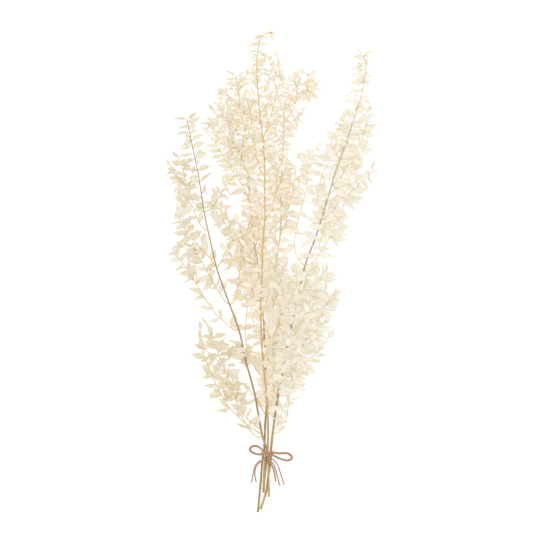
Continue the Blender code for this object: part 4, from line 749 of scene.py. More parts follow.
def leaf_points(leaf, spare=0.0):
    """The leaf's vertices, grown by spare on all sides. Side 0 is the rib, 1 and 2 the edges."""
    face = leaf["face"]
    across = unit(np.cross(leaf["chord"], face))
    out = np.zeros((len(RINGS), 3))
    for i, (ring, side) in enumerate(RINGS):
        s = STATIONS[ring]
        spine = leaf["root"] + leaf["chord"] * s + leaf["arch"] * 4 * s * (1 - s)
        if 0 < ring < len(STATIONS) - 1:
            half = max(PETIOLE, HALF_WIDTHS[ring] * leaf["width"] / 2) + spare
            if side == 0:
                spine = spine + face * (LEAF_THICKNESS * (ROOT_RIB if ring == 1 else 1) + spare)
            else:
                spine = spine + across * half * (1 if side == 1 else -1)
        out[i] = spine
    return press(out)


def press(points):
    """Keeps a leaf above the table: its edges lie on it, and its rib a leaf's thickness higher."""
    low = points[:, 2] < 0
    if low.any():
        for i, (ring, side) in enumerate(RINGS):
            edge = LEAF_THICKNESS if side == 0 and 0 < ring < len(STATIONS) - 1 else 0.0
            points[i, 2] = max(points[i, 2], edge)
    return points


def is_flat_enough(points):
    """False for a leaf that the table would fold together."""
    if points[:, 2].min() > TOUCHING:
        return True
    for ring in range(2, len(STATIONS) - 1):
        left, right = (points[RINGS.index((ring, side))] for side in (1, 2))
        spread = np.linalg.norm((left - right)[:2])
        if spread < PRESSED_SHARE * HALF_WIDTHS[ring] * LEAF_WIDTH:
            return False
    return True


def leaf_size(share, place):
    """Leaves are largest low on the bunch and at the base of each shoot."""
    height = np.interp(place[1] / SQUARE + ORIGIN[1], LEAF_SIZES[0], LEAF_SIZES[1])
    return height * (BASE_SIZE + (TIP_SIZE - BASE_SIZE) * share)


def leaf_sites(line, start, gap):
    """Where leaves grow on a line: distance along it, and which leaf it is, the last at the tip."""
    total = lengths(line)[-1]
    count = max(1, round((total - start) / gap))
    return [(start + (total - start) * k / count, k, k == count) for k in range(count + 1)]


def turned_face(ahead, spare, roll):
    """The way a leaf's upper side looks: up, or the spare way if it is steep, and then rolled."""
    face = np.array([0, 0, 1.0]) - ahead * ahead[2]
    if np.linalg.norm(face) < STEEP:
        face = spare - ahead * ahead.dot(spare)
    face = unit(face)
    face = face * math.cos(roll) + np.cross(ahead, face) * math.sin(roll)
    return face if face[2] > 0 else -face


def leaf_try(site, line, draw):
    """One way that the leaf at a site could stand."""
    where, k, last = site
    total = lengths(line)[-1]
    here = at_length(line, where)
    behind = at_length(line, max(0, where - NEARBY))
    along = unit(at_length(line, min(total, where + NEARBY)) - behind)
    side = unit(np.cross(along, [0, 0, 1]))
    up = np.cross(side, along)
    turn = math.pi * (k % 2) + TWIST * k + draw.gauss(0, TWIST_SPREAD)
    out = side * math.cos(turn) + up * math.sin(turn) * UP_SHARE
    angle = draw.gauss(0, TIP_SPREAD) if last else LEAF_ANGLE + draw.gauss(0, ANGLE_SPREAD)
    ahead = unit(along * math.cos(angle) + unit(out) * math.sin(angle))
    face = turned_face(ahead, along, draw.gauss(0, ROLL_SPREAD))
    size = leaf_size(where / total, here) * draw.uniform(*SIZE_SPREAD)
    long = LEAF_LENGTH * size
    hang = (face * draw.uniform(*BENDS) + np.array([0, -SAG, 0])) * long
    return {
        "root": here, "chord": ahead * long + hang, "arch": -hang / 4, "face": face,
        "width": LEAF_WIDTH * size * draw.uniform(*WIDTH_SPREAD),
    }


def sheet_place(across, down):
    """A place on the sheet of the drawn leaves, in metres from the origin."""
    return (np.array([across - SHEET_TIE[0], SHEET_TIE[1] - down]) - ORIGIN) * SQUARE


def drawn_sites(all_lines):
    """For each line, the drawn leaves that grow on it: how far along it, and the leaf's row."""
    fine = {
        (name, number): spaced(line, SQUARE)
        for name, lines in all_lines.items() for number, line in enumerate(lines)
    }
    out = {key: [] for key in fine}
    for row in DRAWN:
        root = sheet_place(*row[:2])
        away = {key: np.linalg.norm(line[:, :2] - root, axis=1) for key, line in fine.items()}
        key = min(away, key=lambda k: away[k].min())
        nearest = away[key].argmin()
        reach = np.linalg.norm(sheet_place(*row[2:4]) - fine[key][nearest, :2])
        if away[key][nearest] < OFF_STEM * SQUARE and reach < LONGEST * SQUARE:
            out[key].append((lengths(fine[key])[nearest], row))
    return out


def seen_size(row):
    """Squares long times squares wide of a drawn leaf."""
    return math.dist(row[:2], row[2:4]) * row[4]


def drawn_try(row, where, line, draw):
    """One way that a drawn leaf could stand: how its tip rises and how it rolls are free."""
    root = at_length(line, where)
    reach = sheet_place(*row[2:4]) - root[:2]
    seen = np.linalg.norm(reach)
    size = leaf_size(0.5, root) * draw.uniform(*SIZE_SPREAD)
    long = min(max(seen, LEAF_LENGTH * size), seen * STEEPEST)
    rise = math.sqrt(long**2 - seen**2) * draw.uniform(*RISES) * draw.choice((-1, 1))
    chord = np.array([*reach, max(rise, LOWEST_TIP - root[2])])
    ahead = unit(chord)
    wide = max(row[4] * SQUARE, LEAF_WIDTH * size * draw.uniform(*WIDTH_SPREAD))
    face = turned_face(ahead, ahead, math.acos(row[4] * SQUARE / wide) * draw.choice((-1, 1)))
    arch = np.array([0, 1, draw.random()]) * draw.uniform(*DRAWN_ARCH) * long
    return {"root": root, "chord": chord, "arch": arch, "face": face, "width": wide}


def placed(name, data):
    """A new object in the scene."""
    thing = bpy.data.objects.new(name, data)
    bpy.context.scene.collection.objects.link(thing)
    return thing


def plain_tube(line, radii, sides):
    """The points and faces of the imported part's tube along a line."""
    curve = bpy.data.curves.new("guide", "CURVE")
    curve.dimensions = "3D"
    curve.bevel_depth = 1.0
    curve.bevel_resolution = sides // 2 - 2
    curve.use_fill_caps = True
    spline = curve.splines.new("POLY")
    spline.points.add(len(line) - 1)
    share = lengths(line) / lengths(line)[-1]
    for point, place, t in zip(spline.points, line, share):
        point.co = (*place, 1)
        point.radius = radii[0] + (radii[1] - radii[0]) * t
    guide = placed("guide", curve)
    shape = guide.evaluated_get(bpy.context.evaluated_depsgraph_get())
    mesh = bpy.data.meshes.new_from_object(shape)
    bm = bmesh.new()
    bm.from_mesh(mesh)
    bmesh.ops.remove_doubles(bm, verts=bm.verts, dist=TOUCHING)
    bmesh.ops.triangulate(bm, faces=bm.faces)
    points = np.array([v.co for v in bm.verts])
    faces = [tuple(v.index for v in f.verts) for f in bm.faces]
    bm.free()
    bpy.data.objects.remove(guide)
    bpy.data.curves.remove(curve)
    bpy.data.meshes.remove(mesh)
    return points, faces


class Taken:
    """The space that stems and leaves already fill."""

    def __init__(self):
        self.low = []
        self.high = []
        self.trees = []
        self.owners = []

    def add(self, points, faces, owner):
        self.low.append(points.min(axis=0))
        self.high.append(points.max(axis=0))
        self.trees.append(BVHTree.FromPolygons([Vector(p) for p in points], faces))
        self.owners.append(owner)

    def crossed(self, points, faces, skip):
        """The owners of what this shape would cross."""
        low, high = points.min(axis=0), points.max(axis=0)
        near = np.all((np.array(self.low) < high) & (np.array(self.high) > low), axis=1)
        tree = BVHTree.FromPolygons([Vector(p) for p in points], faces)
        return [
            self.owners[i] for i in np.flatnonzero(near)
            if self.owners[i] != skip and tree.overlap(self.trees[i])
        ]


def place_leaf(name, number, label, attempt, taken):
    """The first way to stand that crosses nothing, or else one that crosses no other stem."""
    fallback = None
    for k in range(TRIES):
        leaf = attempt(random.Random(f"{name} {number} {label} {k}"))
        points = leaf_points(leaf)
        if not is_flat_enough(points):
            continue
        owners = taken.crossed(leaf_points(leaf, CLEARANCE), FACES, (name, number))
        if fallback is None and all(owner[0] == name for owner in owners):
            fallback = leaf
        if not owners:
            fallback = leaf
            break
    if fallback:
        taken.add(leaf_points(fallback), FACES, (name, number, label))
    return fallback


def first_leaf(name, number, line):
    """How far along a line its first leaf may grow."""
    if number:
        return SHOOT_BARE
    return float(np.interp(along_of(STEMS[name]["leafy_from"]), line[:, 1], lengths(line)))


def add_drawn(drawn, small, all_lines, taken, out):
    """Adds each line's drawn leaves to out: the small ones, or all the others."""
    kind = "small" if small else "drawn"
    for (name, number), rows in drawn.items():
        for where, row in rows:
            if (seen_size(row) < SMALLEST) != small:
                continue
            attempt = partial(drawn_try, row, where, all_lines[name][number])
            leaf = place_leaf(name, number, f"{kind} {row[0]} {row[1]} {row[2]}", attempt, taken)
            if leaf:
                out[name, number].append((where, leaf))


def add_regular(drawn, all_lines, taken, out):
    """Adds leaves a gap apart to out, where no drawn leaf is near."""
    for (name, number), rows in drawn.items():
        line = all_lines[name][number]
        for site in leaf_sites(line, first_leaf(name, number, line), LEAF_GAP * SQUARE):
            if any(abs(site[0] - where) < FREE_STEM * SQUARE for where, row in rows):
                continue
            leaf = place_leaf(name, number, f"{site[1]}", partial(leaf_try, site, line), taken)
            if leaf:
                out[name, number].append((site[0], leaf))


def place_leaves(all_lines):
    """For each stem and line, its leaves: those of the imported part, then the small drawn ones."""
    taken = Taken()
    coarse = {name: [line for line, fine in lines] for name, lines in all_lines.items()}
    for name, lines in coarse.items():
        for number, line in enumerate(lines):
            radii = STEMS[name]["radius"] if number == 0 else SHOOT_RADIUS
            sides = STEM_TUBE if number == 0 else SHOOT_TUBE
            taken.add(*plain_tube(line, radii, sides), (name, number))
    drawn = drawn_sites(coarse)
    out = {key: [] for key in drawn}
    add_drawn(drawn, False, coarse, taken, out)
    add_regular(drawn, coarse, taken, out)
    add_drawn(drawn, True, coarse, taken, out)
    for (name, number), leaves in out.items():
        line, fine = all_lines[name][number]
        stretch = lengths(fine)[-1] / lengths(line)[-1]
        for where, leaf in leaves:
            root = at_length(fine, where * stretch)
            leaf["chord"] = leaf["chord"] + leaf["root"] - root
            leaf["root"] = root
            leaf["where"] = where * stretch
    return out


def thicket_at(place):
    """The crowded part of the bunch that a place lies in, or None."""
    across, along = place[:2] / SQUARE + ORIGIN
    down = SHEET_TIE[1] - along
    for thicket in THICKETS:
        rows = np.array(thicket["rows"], float)
        if rows[0, 0] < down < rows[-1, 0]:
            left, right = (np.interp(down, rows[:, 0], rows[:, k]) for k in (1, 2))
            if left < across + SHEET_TIE[0] < right:
                return thicket
    return None


def crowd_sites(line, start):
    """Where leaves are added along a line: inside the thickets, a gap apart."""
    out = []
    total = lengths(line)[-1]
    where = start
    while where < total:
        thicket = thicket_at(at_length(line, where))
        if thicket:
            out.append((line, where, thicket))
        where += SQUARE * (thicket["gap"] if thicket else SCAN_STEP)
    return out


def hides_stem(points, mains):
    """True for a leaf whose blade would cover a main stem as seen from above."""
    points = points[BLADE]
    for name, line in mains.items():
        low, high = (along_of(squares) for squares in STEM_SHOWS[name])
        aside = points[:, 0] - np.interp(points[:, 1], line[:, 1], line[:, 0])
        over = points[:, 2].max() > np.interp(points[:, 1], line[:, 1], line[:, 2]).min()
        shows = points[:, 1].max() > low and points[:, 1].min() < high
        if over and shows and aside.min() < STEM_ASIDE and aside.max() > -STEM_ASIDE:
            return True
    return False


def crowd_leaf(label, site, line, thicket, taken, mains, top):
    """An added leaf of a thicket: it may touch others where no way to stand is free."""
    size, breadth = thicket["size"], thicket["breadth"]
    for k in range(CROWD_TRIES):
        leaf = leaf_try(site, line, random.Random(f"{label} {k}"))
        leaf = {**leaf, "chord": leaf["chord"] * size, "width": leaf["width"] * size * breadth}
        points = leaf_points(leaf)
        if points[:, 2].max() > top or not is_flat_enough(points) or hides_stem(points, mains):
            continue
        if k == CROWD_TRIES - 1 or not taken.crossed(points, FACES, None):
            taken.add(points, FACES, (label,))
            return leaf
    return None


def twiglets(name, number, line):
    """Short twigs that grow from a line in a thicket, on one side and then the other."""
    out = []
    total = lengths(line)[-1]
    where = SHOOT_BARE
    k = 0
    while where < total - SCAN_STEP * SQUARE:
        base = at_length(line, where)
        thicket = thicket_at(base)
        here = where
        where += SQUARE * (thicket["twigs"] if thicket else SCAN_STEP)
        if not thicket:
            continue
        k += 1
        draw = random.Random(f"twiglet {name} {number} {k}")
        along = unit(at_length(line, min(total, here + NEARBY)) - at_length(line, here - NEARBY))
        side = unit(np.cross(along, [0, 0, 1])) * (1 if k % 2 else -1)
        up = np.array([0, 0, draw.uniform(*TWIGLET_RISE)])
        way = unit(along * draw.uniform(*TWIGLET_ALONG) + side * draw.uniform(*TWIGLET_ASIDE) + up)
        long = draw.uniform(*TWIGLET_LENGTH) * SQUARE
        share = np.linspace(0, 1, TWIGLET_POINTS)[:, None]
        path = base + way * long * share + (along - way) * long * TWIGLET_CURVE * share**2
        path[:, 2] = np.maximum(path[:, 2], TWIGLET_LOWEST)
        inside = 1
        while inside < len(path) and thicket_at(path[inside]):
            inside += 1
        if inside >= TWIGLET_SHORTEST:
            out.append(path[:inside])
    return out


def overlays(name, line):
    """Leaves that lie along a main stem, over it, where the bunch hides it."""
    draw = random.Random(f"overlay {name}")
    low, high = OVERLAID.get(name, (0, 0))
    at = low
    out = []
    while at < high:
        here = np.array([np.interp(along_of(at), line[:, 1], line[:, k]) for k in range(3)])
        ahead = unit(np.array([draw.uniform(*OVERLAY_LEAN), 1.0, draw.uniform(*OVERLAY_RISE)]))
        face = turned_face(ahead, np.array([0, 1.0, 0]), 0)
        face = face if face[2] > 0 else -face
        long = LEAF_LENGTH * draw.uniform(*OVERLAY_LENGTH)
        out.append({
            "root": here + np.array([0, 0, OVERLAY_UP]), "chord": ahead * long,
            "arch": face * OVERLAY_ARCH * long, "face": face,
            "width": LEAF_WIDTH * draw.uniform(*OVERLAY_WIDTH),
        })
        at += draw.uniform(*OVERLAY_GAP)
    return out


def crowd(all_lines, leaves, top):
    """The twiglets of each stem, and the leaves that fill its thickets."""
    taken = Taken()
    for (name, number), pairs in leaves.items():
        for where, leaf in pairs:
            taken.add(leaf_points(leaf), FACES, (name, number))
    mains = {name: lines[0][1] for name, lines in all_lines.items()}
    out = {}
    for name, lines in all_lines.items():
        for number, (line, fine) in enumerate(lines):
            twigs = twiglets(name, number, fine)
            sites = crowd_sites(fine, SHOOT_BARE)
            for path in twigs:
                sites.extend(crowd_sites(path, TWIGLET_BARE * SQUARE))
                end = thicket_at(path[-1]) or thicket_at(path[0])
                sites.append((path, lengths(path)[-1], end))
            grown = overlays(name, fine) if number == 0 else []
            for k, (path, where, thicket) in enumerate(sites):
                site = (where, k, where == lengths(path)[-1])
                label = f"crowd {name} {number} {k}"
                leaf = crowd_leaf(label, site, path, thicket, taken, mains, top)
                if leaf:
                    grown.append(leaf)
            out[name, number] = (twigs, grown)
    return out


# Meshes


class Shape:
    """Vertices, faces and one vector for each vertex that its material reads."""

    def __init__(self):
        self.points = []
        self.marks = []
        self.faces = []

    def add(self, points, faces, marks):
        start = len(self.points)
        self.points.extend(map(tuple, points))
        self.marks.extend(map(tuple, marks))
        self.faces.extend(tuple(i + start for i in face) for face in faces)

    def make(self, name, finish, slot, replaced=()):
        """The piece as an object that rides on the bunch."""
        mesh = bpy.data.meshes.new(name)
        mesh.from_pydata(self.points, [], self.faces)
        mesh.attributes.new("grain", "FLOAT_VECTOR", "POINT")
        mesh.attributes["grain"].data.foreach_set("vector", np.array(self.marks, np.float32).ravel())
        mesh.materials.append(finish)
        mesh.shade_smooth()
        piece = placed(name, mesh)
        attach(piece, "root")
        if replaced:
            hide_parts(*replaced)
        return piece


def ring_frames(line):
    """Directions along the line, and two across it that turn as little as they can."""
    ahead = units(np.gradient(line, axis=0))
    side = np.cross(ahead[0], [0, 0, 1.0])
    if np.linalg.norm(side) < UPRIGHT:
        side = np.cross(ahead[0], [1.0, 0, 0])
    sides = []
    for way in ahead:
        side = unit(side - way * side.dot(way))
        sides.append(side)
    sides = np.array(sides)
    return ahead, sides, np.cross(sides, ahead)


def angles_round(count):
    return 2 * math.pi * np.arange(count) / count


def points_round(line, side, up, radii):
    """Rings of points round a line: radii has a row for each ring and a column for each side."""
    angles = angles_round(radii.shape[1])
    around = side[:, None] * np.cos(angles)[:, None] + up[:, None] * np.sin(angles)[:, None]
    return (line[:, None] + around * radii[:, :, None]).reshape(-1, 3)


def faces_between(rows, count, closed=False):
    """The faces between rings of points, and from the last ring to the first if it is closed."""
    faces = []
    for i in range(rows if closed else rows - 1):
        a, b = i * count, (i + 1) % rows * count
        for j in range(count):
            k = (j + 1) % count
            faces.append((a + j, a + k, b + k, b + j))
    return faces


def marks_round(line, count, mark):
    """For each point of a tube, its angle, how far along the line it is, and the mark."""
    return [(angle, along, mark) for along in lengths(line) for angle in angles_round(count)]


def skin(line, radii, mark):
    """A closed tube round a line."""
    ahead, side, up = ring_frames(line)
    rows, count = radii.shape
    faces = faces_between(rows, count)
    faces.append(tuple(range(count - 1, -1, -1)))
    faces.append(tuple((rows - 1) * count + j for j in range(count)))
    return points_round(line, side, up, radii), faces, marks_round(line, count, mark)


def wavy(count, draw, size, rings):
    """A smooth random row around 1."""
    knots = np.array([draw.gauss(0, size) for _ in range(max(4, count // rings))])
    return 1 + np.interp(np.linspace(0, 1, count), np.linspace(0, 1, len(knots)), knots)


def twig(line, radii, nodes, sides, draw, mark):
    """A stem or side shoot that swells a little at each leaf."""
    total = lengths(line)[-1]
    wheres = np.linspace(0, total, max(4, round(total / (FINE_STEP * SQUARE)) + 1))
    swell = [node + shift for node in nodes for shift in (-NODE_LENGTH, 0, NODE_LENGTH)]
    wheres = np.unique(np.concatenate([wheres, np.clip(swell, 0, total)]))
    wheres = wheres[np.concatenate([[True], np.diff(wheres) > RINGS_APART])]
    places = at_length(line, wheres)
    size = np.interp(wheres, [0, total], radii) * wavy(len(wheres), draw, *BARK_WAVES)
    for node in nodes:
        size = size * (1 + NODE_SWELL * np.exp(-((wheres - node) / NODE_LENGTH) ** 2))
    ridges = np.array([draw.uniform(*BARK_RIDGES) for _ in range(sides)])
    return skin(places, size[:, None] * ridges[None, :], mark)


def leaf_spine(leaf, draw):
    """A leaf's curved spine, and the ways across it and up from it that twist along it."""
    chord = leaf["chord"]
    long = np.linalg.norm(chord)
    face = leaf["face"]
    across = unit(np.cross(chord, face))
    sickle = draw.gauss(0, SICKLE)
    curl = draw.uniform(*CURLS) * (-1 if draw.random() < CURLED_DOWN else 1)
    path = np.append(ALONG, 1.0)[:, None]
    spine = leaf["root"] + chord * path + leaf["arch"] * 4 * path * (1 - path)
    spine = spine + across * sickle * long * 4 * path * (1 - path)
    spine = spine + face * curl * long * np.maximum(path - CURL_FROM, 0) ** 2 * CURL_GAIN
    ahead = units(np.gradient(spine, axis=0))
    turn = draw.gauss(0, ROLLS[0]) + path * draw.gauss(0, ROLLS[1])
    side = units(across - ahead * (ahead @ across)[:, None])
    up = np.cross(side, ahead)
    return spine, side * np.cos(turn) + up * np.sin(turn), up * np.cos(turn) - side * np.sin(turn)


def leaf_blade(width, draw):
    """How far aside of a leaf's spine and above it the points of its rings are."""
    s = np.array(ALONG)
    t = np.array(ACROSS)
    fold = abs(draw.gauss(*FOLD))
    if draw.random() < SHUT_LEAVES:
        fold = draw.uniform(*SHUT_FOLD)
    fold = fold * (1 if draw.random() < FOLDED_UP else -1)
    cup = draw.uniform(*CUPS)
    half = np.array(OUTLINE) * BROAD * width / 2
    half[:2] = STALK
    open_up = np.clip(s / OPEN_BY, 0, 1) ** OPEN_POWER
    bend = fold * open_up
    wave = draw.uniform(*EDGE_WAVES)
    waves = np.zeros((len(s), len(t)))
    for j, edge in enumerate(t):
        if j in (0, len(t) // 2 + 1):  # each half of the leaf waves in its own way
            phase = draw.uniform(0, 2 * math.pi)
            crests = draw.uniform(*WAVE_COUNTS)
        height = wave * abs(edge) ** WAVE_POWER
        waves[:, j] = height * np.sin(2 * math.pi * crests * s + phase) * open_up
    folded = np.abs(t) * np.sin(bend)[:, None]
    cupped = cup * t**2 * open_up[:, None]
    return half[:, None] * t * np.cos(bend)[:, None], half[:, None] * (folded + cupped + waves)


def leaf_mesh(leaf, draw):
    """A thin closed leaf with a stalk, a rib, folded halves and wavy edges."""
    spine, side, up = leaf_spine(leaf, draw)
    aside, above = leaf_blade(leaf["width"], draw)
    s = np.array(ALONG)
    t = np.array(ACROSS)
    rib = np.exp(-((t / RIB) ** 2))
    thick = np.tile(SHEET_EDGE + (SHEET - SHEET_EDGE) * (1 - t**2), (len(s), 1))
    thick[:2] = STALK * np.sqrt(np.maximum(0, 1 - t**2))[None, :] * 2
    middle = (spine[:-1, None] + side[:-1, None] * aside[:, :, None]
              + up[:-1, None] * above[:, :, None])
    lift = up[:-1, None]
    ridge = RIB_RIDGE * rib[None, :] * (1 - RIB_FADE * s)[:, None]
    top = middle + lift * (thick / 2 - RIB_GROOVE * rib[None, :])[:, :, None]
    low = middle - lift * (thick / 2 + ridge)[:, :, None]
    rim = len(t) - 1
    around = [middle[:, :1], top[:, 1:rim], middle[:, rim:], low[:, rim - 1:0:-1]]
    around = np.concatenate(around, axis=1)
    count = around.shape[1]
    points = np.vstack([around.reshape(-1, 3), spine[-1]])
    # Points that the table presses differ a little in height, so no two surfaces coincide.
    lowest = (LOWEST + np.linspace(0, 1, len(points)) % LOWEST_SPREAD) * LOWEST_SCALE
    points[:, 2] = np.maximum(points[:, 2], lowest)
    rows = len(s)
    faces = [tuple(range(count - 1, -1, -1)), *faces_between(rows, count)]
    tip = rows * count
    for j in range(count):
        faces.append(((rows - 1) * count + j, (rows - 1) * count + (j + 1) % count, tip))
    edges = np.concatenate([t[:1], t[1:rim], t[rim:], t[rim - 1:0:-1]])
    shade = draw.random()
    marks = [(edge, where, shade) for where in s for edge in edges] + [(0, 1, shade)]
    return points, faces, marks


def build_stems(all_lines, leaves, crowded, woods, greens):
    """Each stem as two pieces, its wood and its leaves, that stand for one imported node."""
    for name, lines in all_lines.items():
        wood = Shape()
        foliage = Shape()
        for number, (line, fine) in enumerate(lines):
            draw = random.Random(f"wood {name} {number}")
            nodes = sorted(leaf["where"] for where, leaf in leaves[name, number])
            if number == 0:
                radii = (STEMS[name]["radius"][0] * STEM_FULL, STEM_TIP)
                wood.add(*twig(fine, radii, nodes, STEM_SIDES, draw, 0.0))
            else:
                wood.add(*twig(fine, TWIG_RADIUS, nodes, TWIG_SIDES, draw, 1.0))
            twigs, more = crowded[name, number]
            for path in twigs:
                wood.add(*twig(path, TWIGLET_RADIUS, [], TWIGLET_SIDES, draw, 1.0))
            grown = [leaf for where, leaf in leaves[name, number]] + more
            for k, leaf in enumerate(grown):
                foliage.add(*leaf_mesh(leaf, random.Random(f"leaf {name} {number} {k}")))
        wood.make(f"{name}_wood", woods[name], "stem_bark", [name])
        foliage.make(f"{name}_leaves", greens[name], "dried_leaf", [name])


# Twine


def ply_radii(radius, turn):
    """Radii round a strand whose plies have turned by these angles at its rings."""
    between, more = PLY_RADII
    angles = angles_round(TWINE_SIDES)
    lobes = np.abs(np.cos((angles[None, :] - turn[:, None]) * PLIES / 2))
    return radius * (between + more * lobes)


def strand_skin(line, radius, draw):
    """A twisted strand of plies round a line."""
    radii = ply_radii(radius, 2 * math.pi * lengths(line) / PLY_PITCH)
    radii = radii * wavy(len(line), draw, *STRAND_WAVES)[:, None]
    noise = np.array([[draw.uniform(*STRAND_NOISE) for _ in range(TWINE_SIDES)] for _ in line])
    return skin(line, radii * (1 + noise), 0.0)


def strand_radius(name):
    return STRAND / 2 * (THICK_TAIL if name == "tail_right_inner" else 1)


def twine_line(name):
    """A strand's centreline in metres; the two strands of a loop lie against each other."""
    line = spaced(smooth(metres(STRANDS[name])), TWINE_RING)
    side, rank = name.rsplit("_", 1)
    if side != "tail_right" or rank == "middle":
        other = spaced(smooth(metres(STRANDS[f"{side}_{BESIDE[rank]}"])), TWINE_RING)
        shares = lengths(line) / lengths(line)[-1]
        other = at_length(other, shares * lengths(other)[-1])
        held = np.minimum(1, shares / MEET_BY)[:, None]
        if side.startswith("tail"):
            held = held * np.interp(shares, [PART_FROM, 1], [1, 0])[:, None]
        line = line + (other - line) * DRAWN_TOGETHER[rank] * held
    if side == "bow_right":
        out = (line[:, 0] - line[0, 0]) / np.ptp(line[:, 0])
        line[:, 1] -= LOOP_DROOP * SQUARE * out**2
    line[:, 2] = np.maximum(line[:, 2], strand_radius(name) * STRAND_ABOVE + STRAND_CLEARANCE)
    return line


def thin(path, radius, sides):
    """A thin tube along a path, whose radius changes evenly from one end to the other."""
    radii = np.interp(np.linspace(0, 1, len(path)), [0, 1], radius)
    return skin(path, radii[:, None] * np.ones((1, sides)), 1.0)


def fibres(line, count, draw):
    """Thin loose fibres that stand out from a strand."""
    out = Shape()
    ahead, side, up = ring_frames(line)
    for _ in range(count):
        i = draw.randrange(1, len(line) - 1)
        angle = draw.uniform(0, 2 * math.pi)
        away = side[i] * math.cos(angle) + up[i] * math.sin(angle)
        way = unit(ahead[i] * draw.choice((-1, 1)) + away * draw.uniform(*FIBRE_AWAY))
        bend = unit(np.array([draw.gauss(0, 1) for _ in range(3)]))
        long = draw.uniform(*FIBRE_LENGTHS) * FIBRE_REACH
        share = np.linspace(0, 1, FIBRE_POINTS)[:, None]
        path = line[i] + away * TWINE * FIBRE_ROOT + way * long * share
        path = path + bend * long * FIBRE_BEND * share**2
        path[:, 2] = np.maximum(path[:, 2], FIBRE_LOWEST)
        out.add(*thin(path, FIBRE_RADIUS, FIBRE_SIDES))
    return out


def frayed_end(line, draw):
    """The plies and fibres of a cut end, spread apart."""
    out = Shape()
    ahead = unit(line[-1] - line[-4])
    side = unit(np.cross(ahead, [0, 0, 1.0]))
    for _ in range(FRAYS):
        aside = side * draw.gauss(0, FRAY_ASIDE)
        way = unit(ahead + aside + np.array([0, 0, draw.gauss(*FRAY_UP)]))
        start = line[-3] + side * draw.uniform(-0.5, 0.5) * TWINE * FRAY_ROOTS
        long = draw.uniform(*FRAY_LENGTH)
        share = np.linspace(0, 1, FIBRE_POINTS)[:, None]
        path = start + way * long * share + side * draw.gauss(0, FRAY_BEND) * long * share**2
        path[:, 2] = np.maximum(path[:, 2], FRAY_LOWEST)
        out.add(*thin(path, FRAY_RADIUS, FRAY_SIDES))
    return out


def build_bow(finish):
    """The bow's loops and tails: free strands of twine."""
    for name in STRANDS:
        line = twine_line(name)
        draw = random.Random(f"twine {name}")
        body = Shape()
        body.add(*strand_skin(line, strand_radius(name), draw))
        piece = body.make(f"twine_{name}", finish, "twine", [name])
        extras = [fibres(line, STRAND_FIBRES, draw).make(f"fibres_{name}", finish, "twine")]
        tail = name.startswith("tail")
        if tail:
            extras.append(frayed_end(line, draw).make(f"frayed_{name}", finish, "twine"))


def tie_hull(all_lines):
    """The closed line round the five stems at the tie, as (across, up) points and directions."""
    circles = []
    for name, lines in all_lines.items():
        line = lines[0][0]
        for shift in (-TIE_HALF, 0, TIE_HALF):
            centre = at_length(line, np.interp(along_of(TIE_AT) + shift, line[:, 1], lengths(line)))
            circles.append((centre[0], centre[2], STEMS[name]["radius"][0] + TIE_CLEARANCE))
    out = []
    for angle in angles_round(TIE_SIDES):
        way = np.array([math.cos(angle), math.sin(angle)])
        x, z, r = max(circles, key=lambda c: c[0] * way[0] + c[1] * way[1] + c[2])
        out.append((np.array([x, z]) + way * r, way))
    return out


def build_tie(finish, all_lines):
    """Three turns of twine round the stems, and the knot on top of them."""
    hull = tie_hull(all_lines)
    path = []
    steps = TIE_SIDES * TIE_TURNS
    for k in range(steps + 1):
        place, way = hull[k % TIE_SIDES]
        x, z = place + way * TWINE * TIE_OUT
        y = along_of(TIE_AT) + (k / steps - 0.5) * 2 * (TIE_HALF - TWINE * TIE_INSET)
        path.append((x, y, z))
    path = spaced(np.array(path), TWINE_RING)
    draw = random.Random("tie")
    wraps = Shape()
    wraps.add(*strand_skin(path, STRAND / 2, draw))
    wraps.make("twine_wraps", finish, "twine", ["twine_tie"])
    fibres(path, TIE_FIBRES, draw).make("fibres_wraps", finish, "twine")

    top = max(place[1] for place, way in hull)
    middle = np.array([-ORIGIN[0] * SQUARE, along_of(KNOT_AT), top + KNOT_ABOVE + KNOT[2] / 2])
    knot = Shape()
    angles = angles_round(KNOT_RING_POINTS)
    for shift, lean in KNOT_RINGS:
        ring = np.column_stack([
            shift + lean * np.cos(angles) * KNOT[1] * KNOT_LEAN,
            np.cos(angles) * (KNOT[1] / 2 - TWINE * KNOT_INSETS[0]),
            np.sin(angles) * (KNOT[2] / 2 - TWINE * KNOT_INSETS[1]),
        ]) + middle
        knot.add(*ring_skin(ring, TWINE / 2 * KNOT_RING_FULL))
    for points in KNOT_STRANDS:
        line = spaced(smooth(np.array(points) + middle, KNOT_PER_SPAN), TWINE_RING)
        knot.add(*strand_skin(line, TWINE / 2, draw))
    knot.make("twine_knot", finish, "twine", ["twine_tie"])


def ring_skin(ring, radius):
    """A closed ring of twisted strand."""
    count = len(ring)
    ahead = units(np.roll(ring, -1, axis=0) - np.roll(ring, 1, axis=0))
    flat = np.tile([1.0, 0, 0], (count, 1))
    side = units(flat - ahead * np.sum(flat * ahead, axis=1)[:, None])
    up = np.cross(side, ahead)
    along = lengths(ring)
    total = along[-1] + np.linalg.norm(ring[0] - ring[-1])
    turns = max(1, round(total / PLY_PITCH * PLIES)) / PLIES
    radii = ply_radii(radius, 2 * math.pi * along / total * turns)
    faces = faces_between(count, TWINE_SIDES, closed=True)
    return points_round(ring, side, up, radii), faces, marks_round(ring, TWINE_SIDES, 0.0)


# Materials


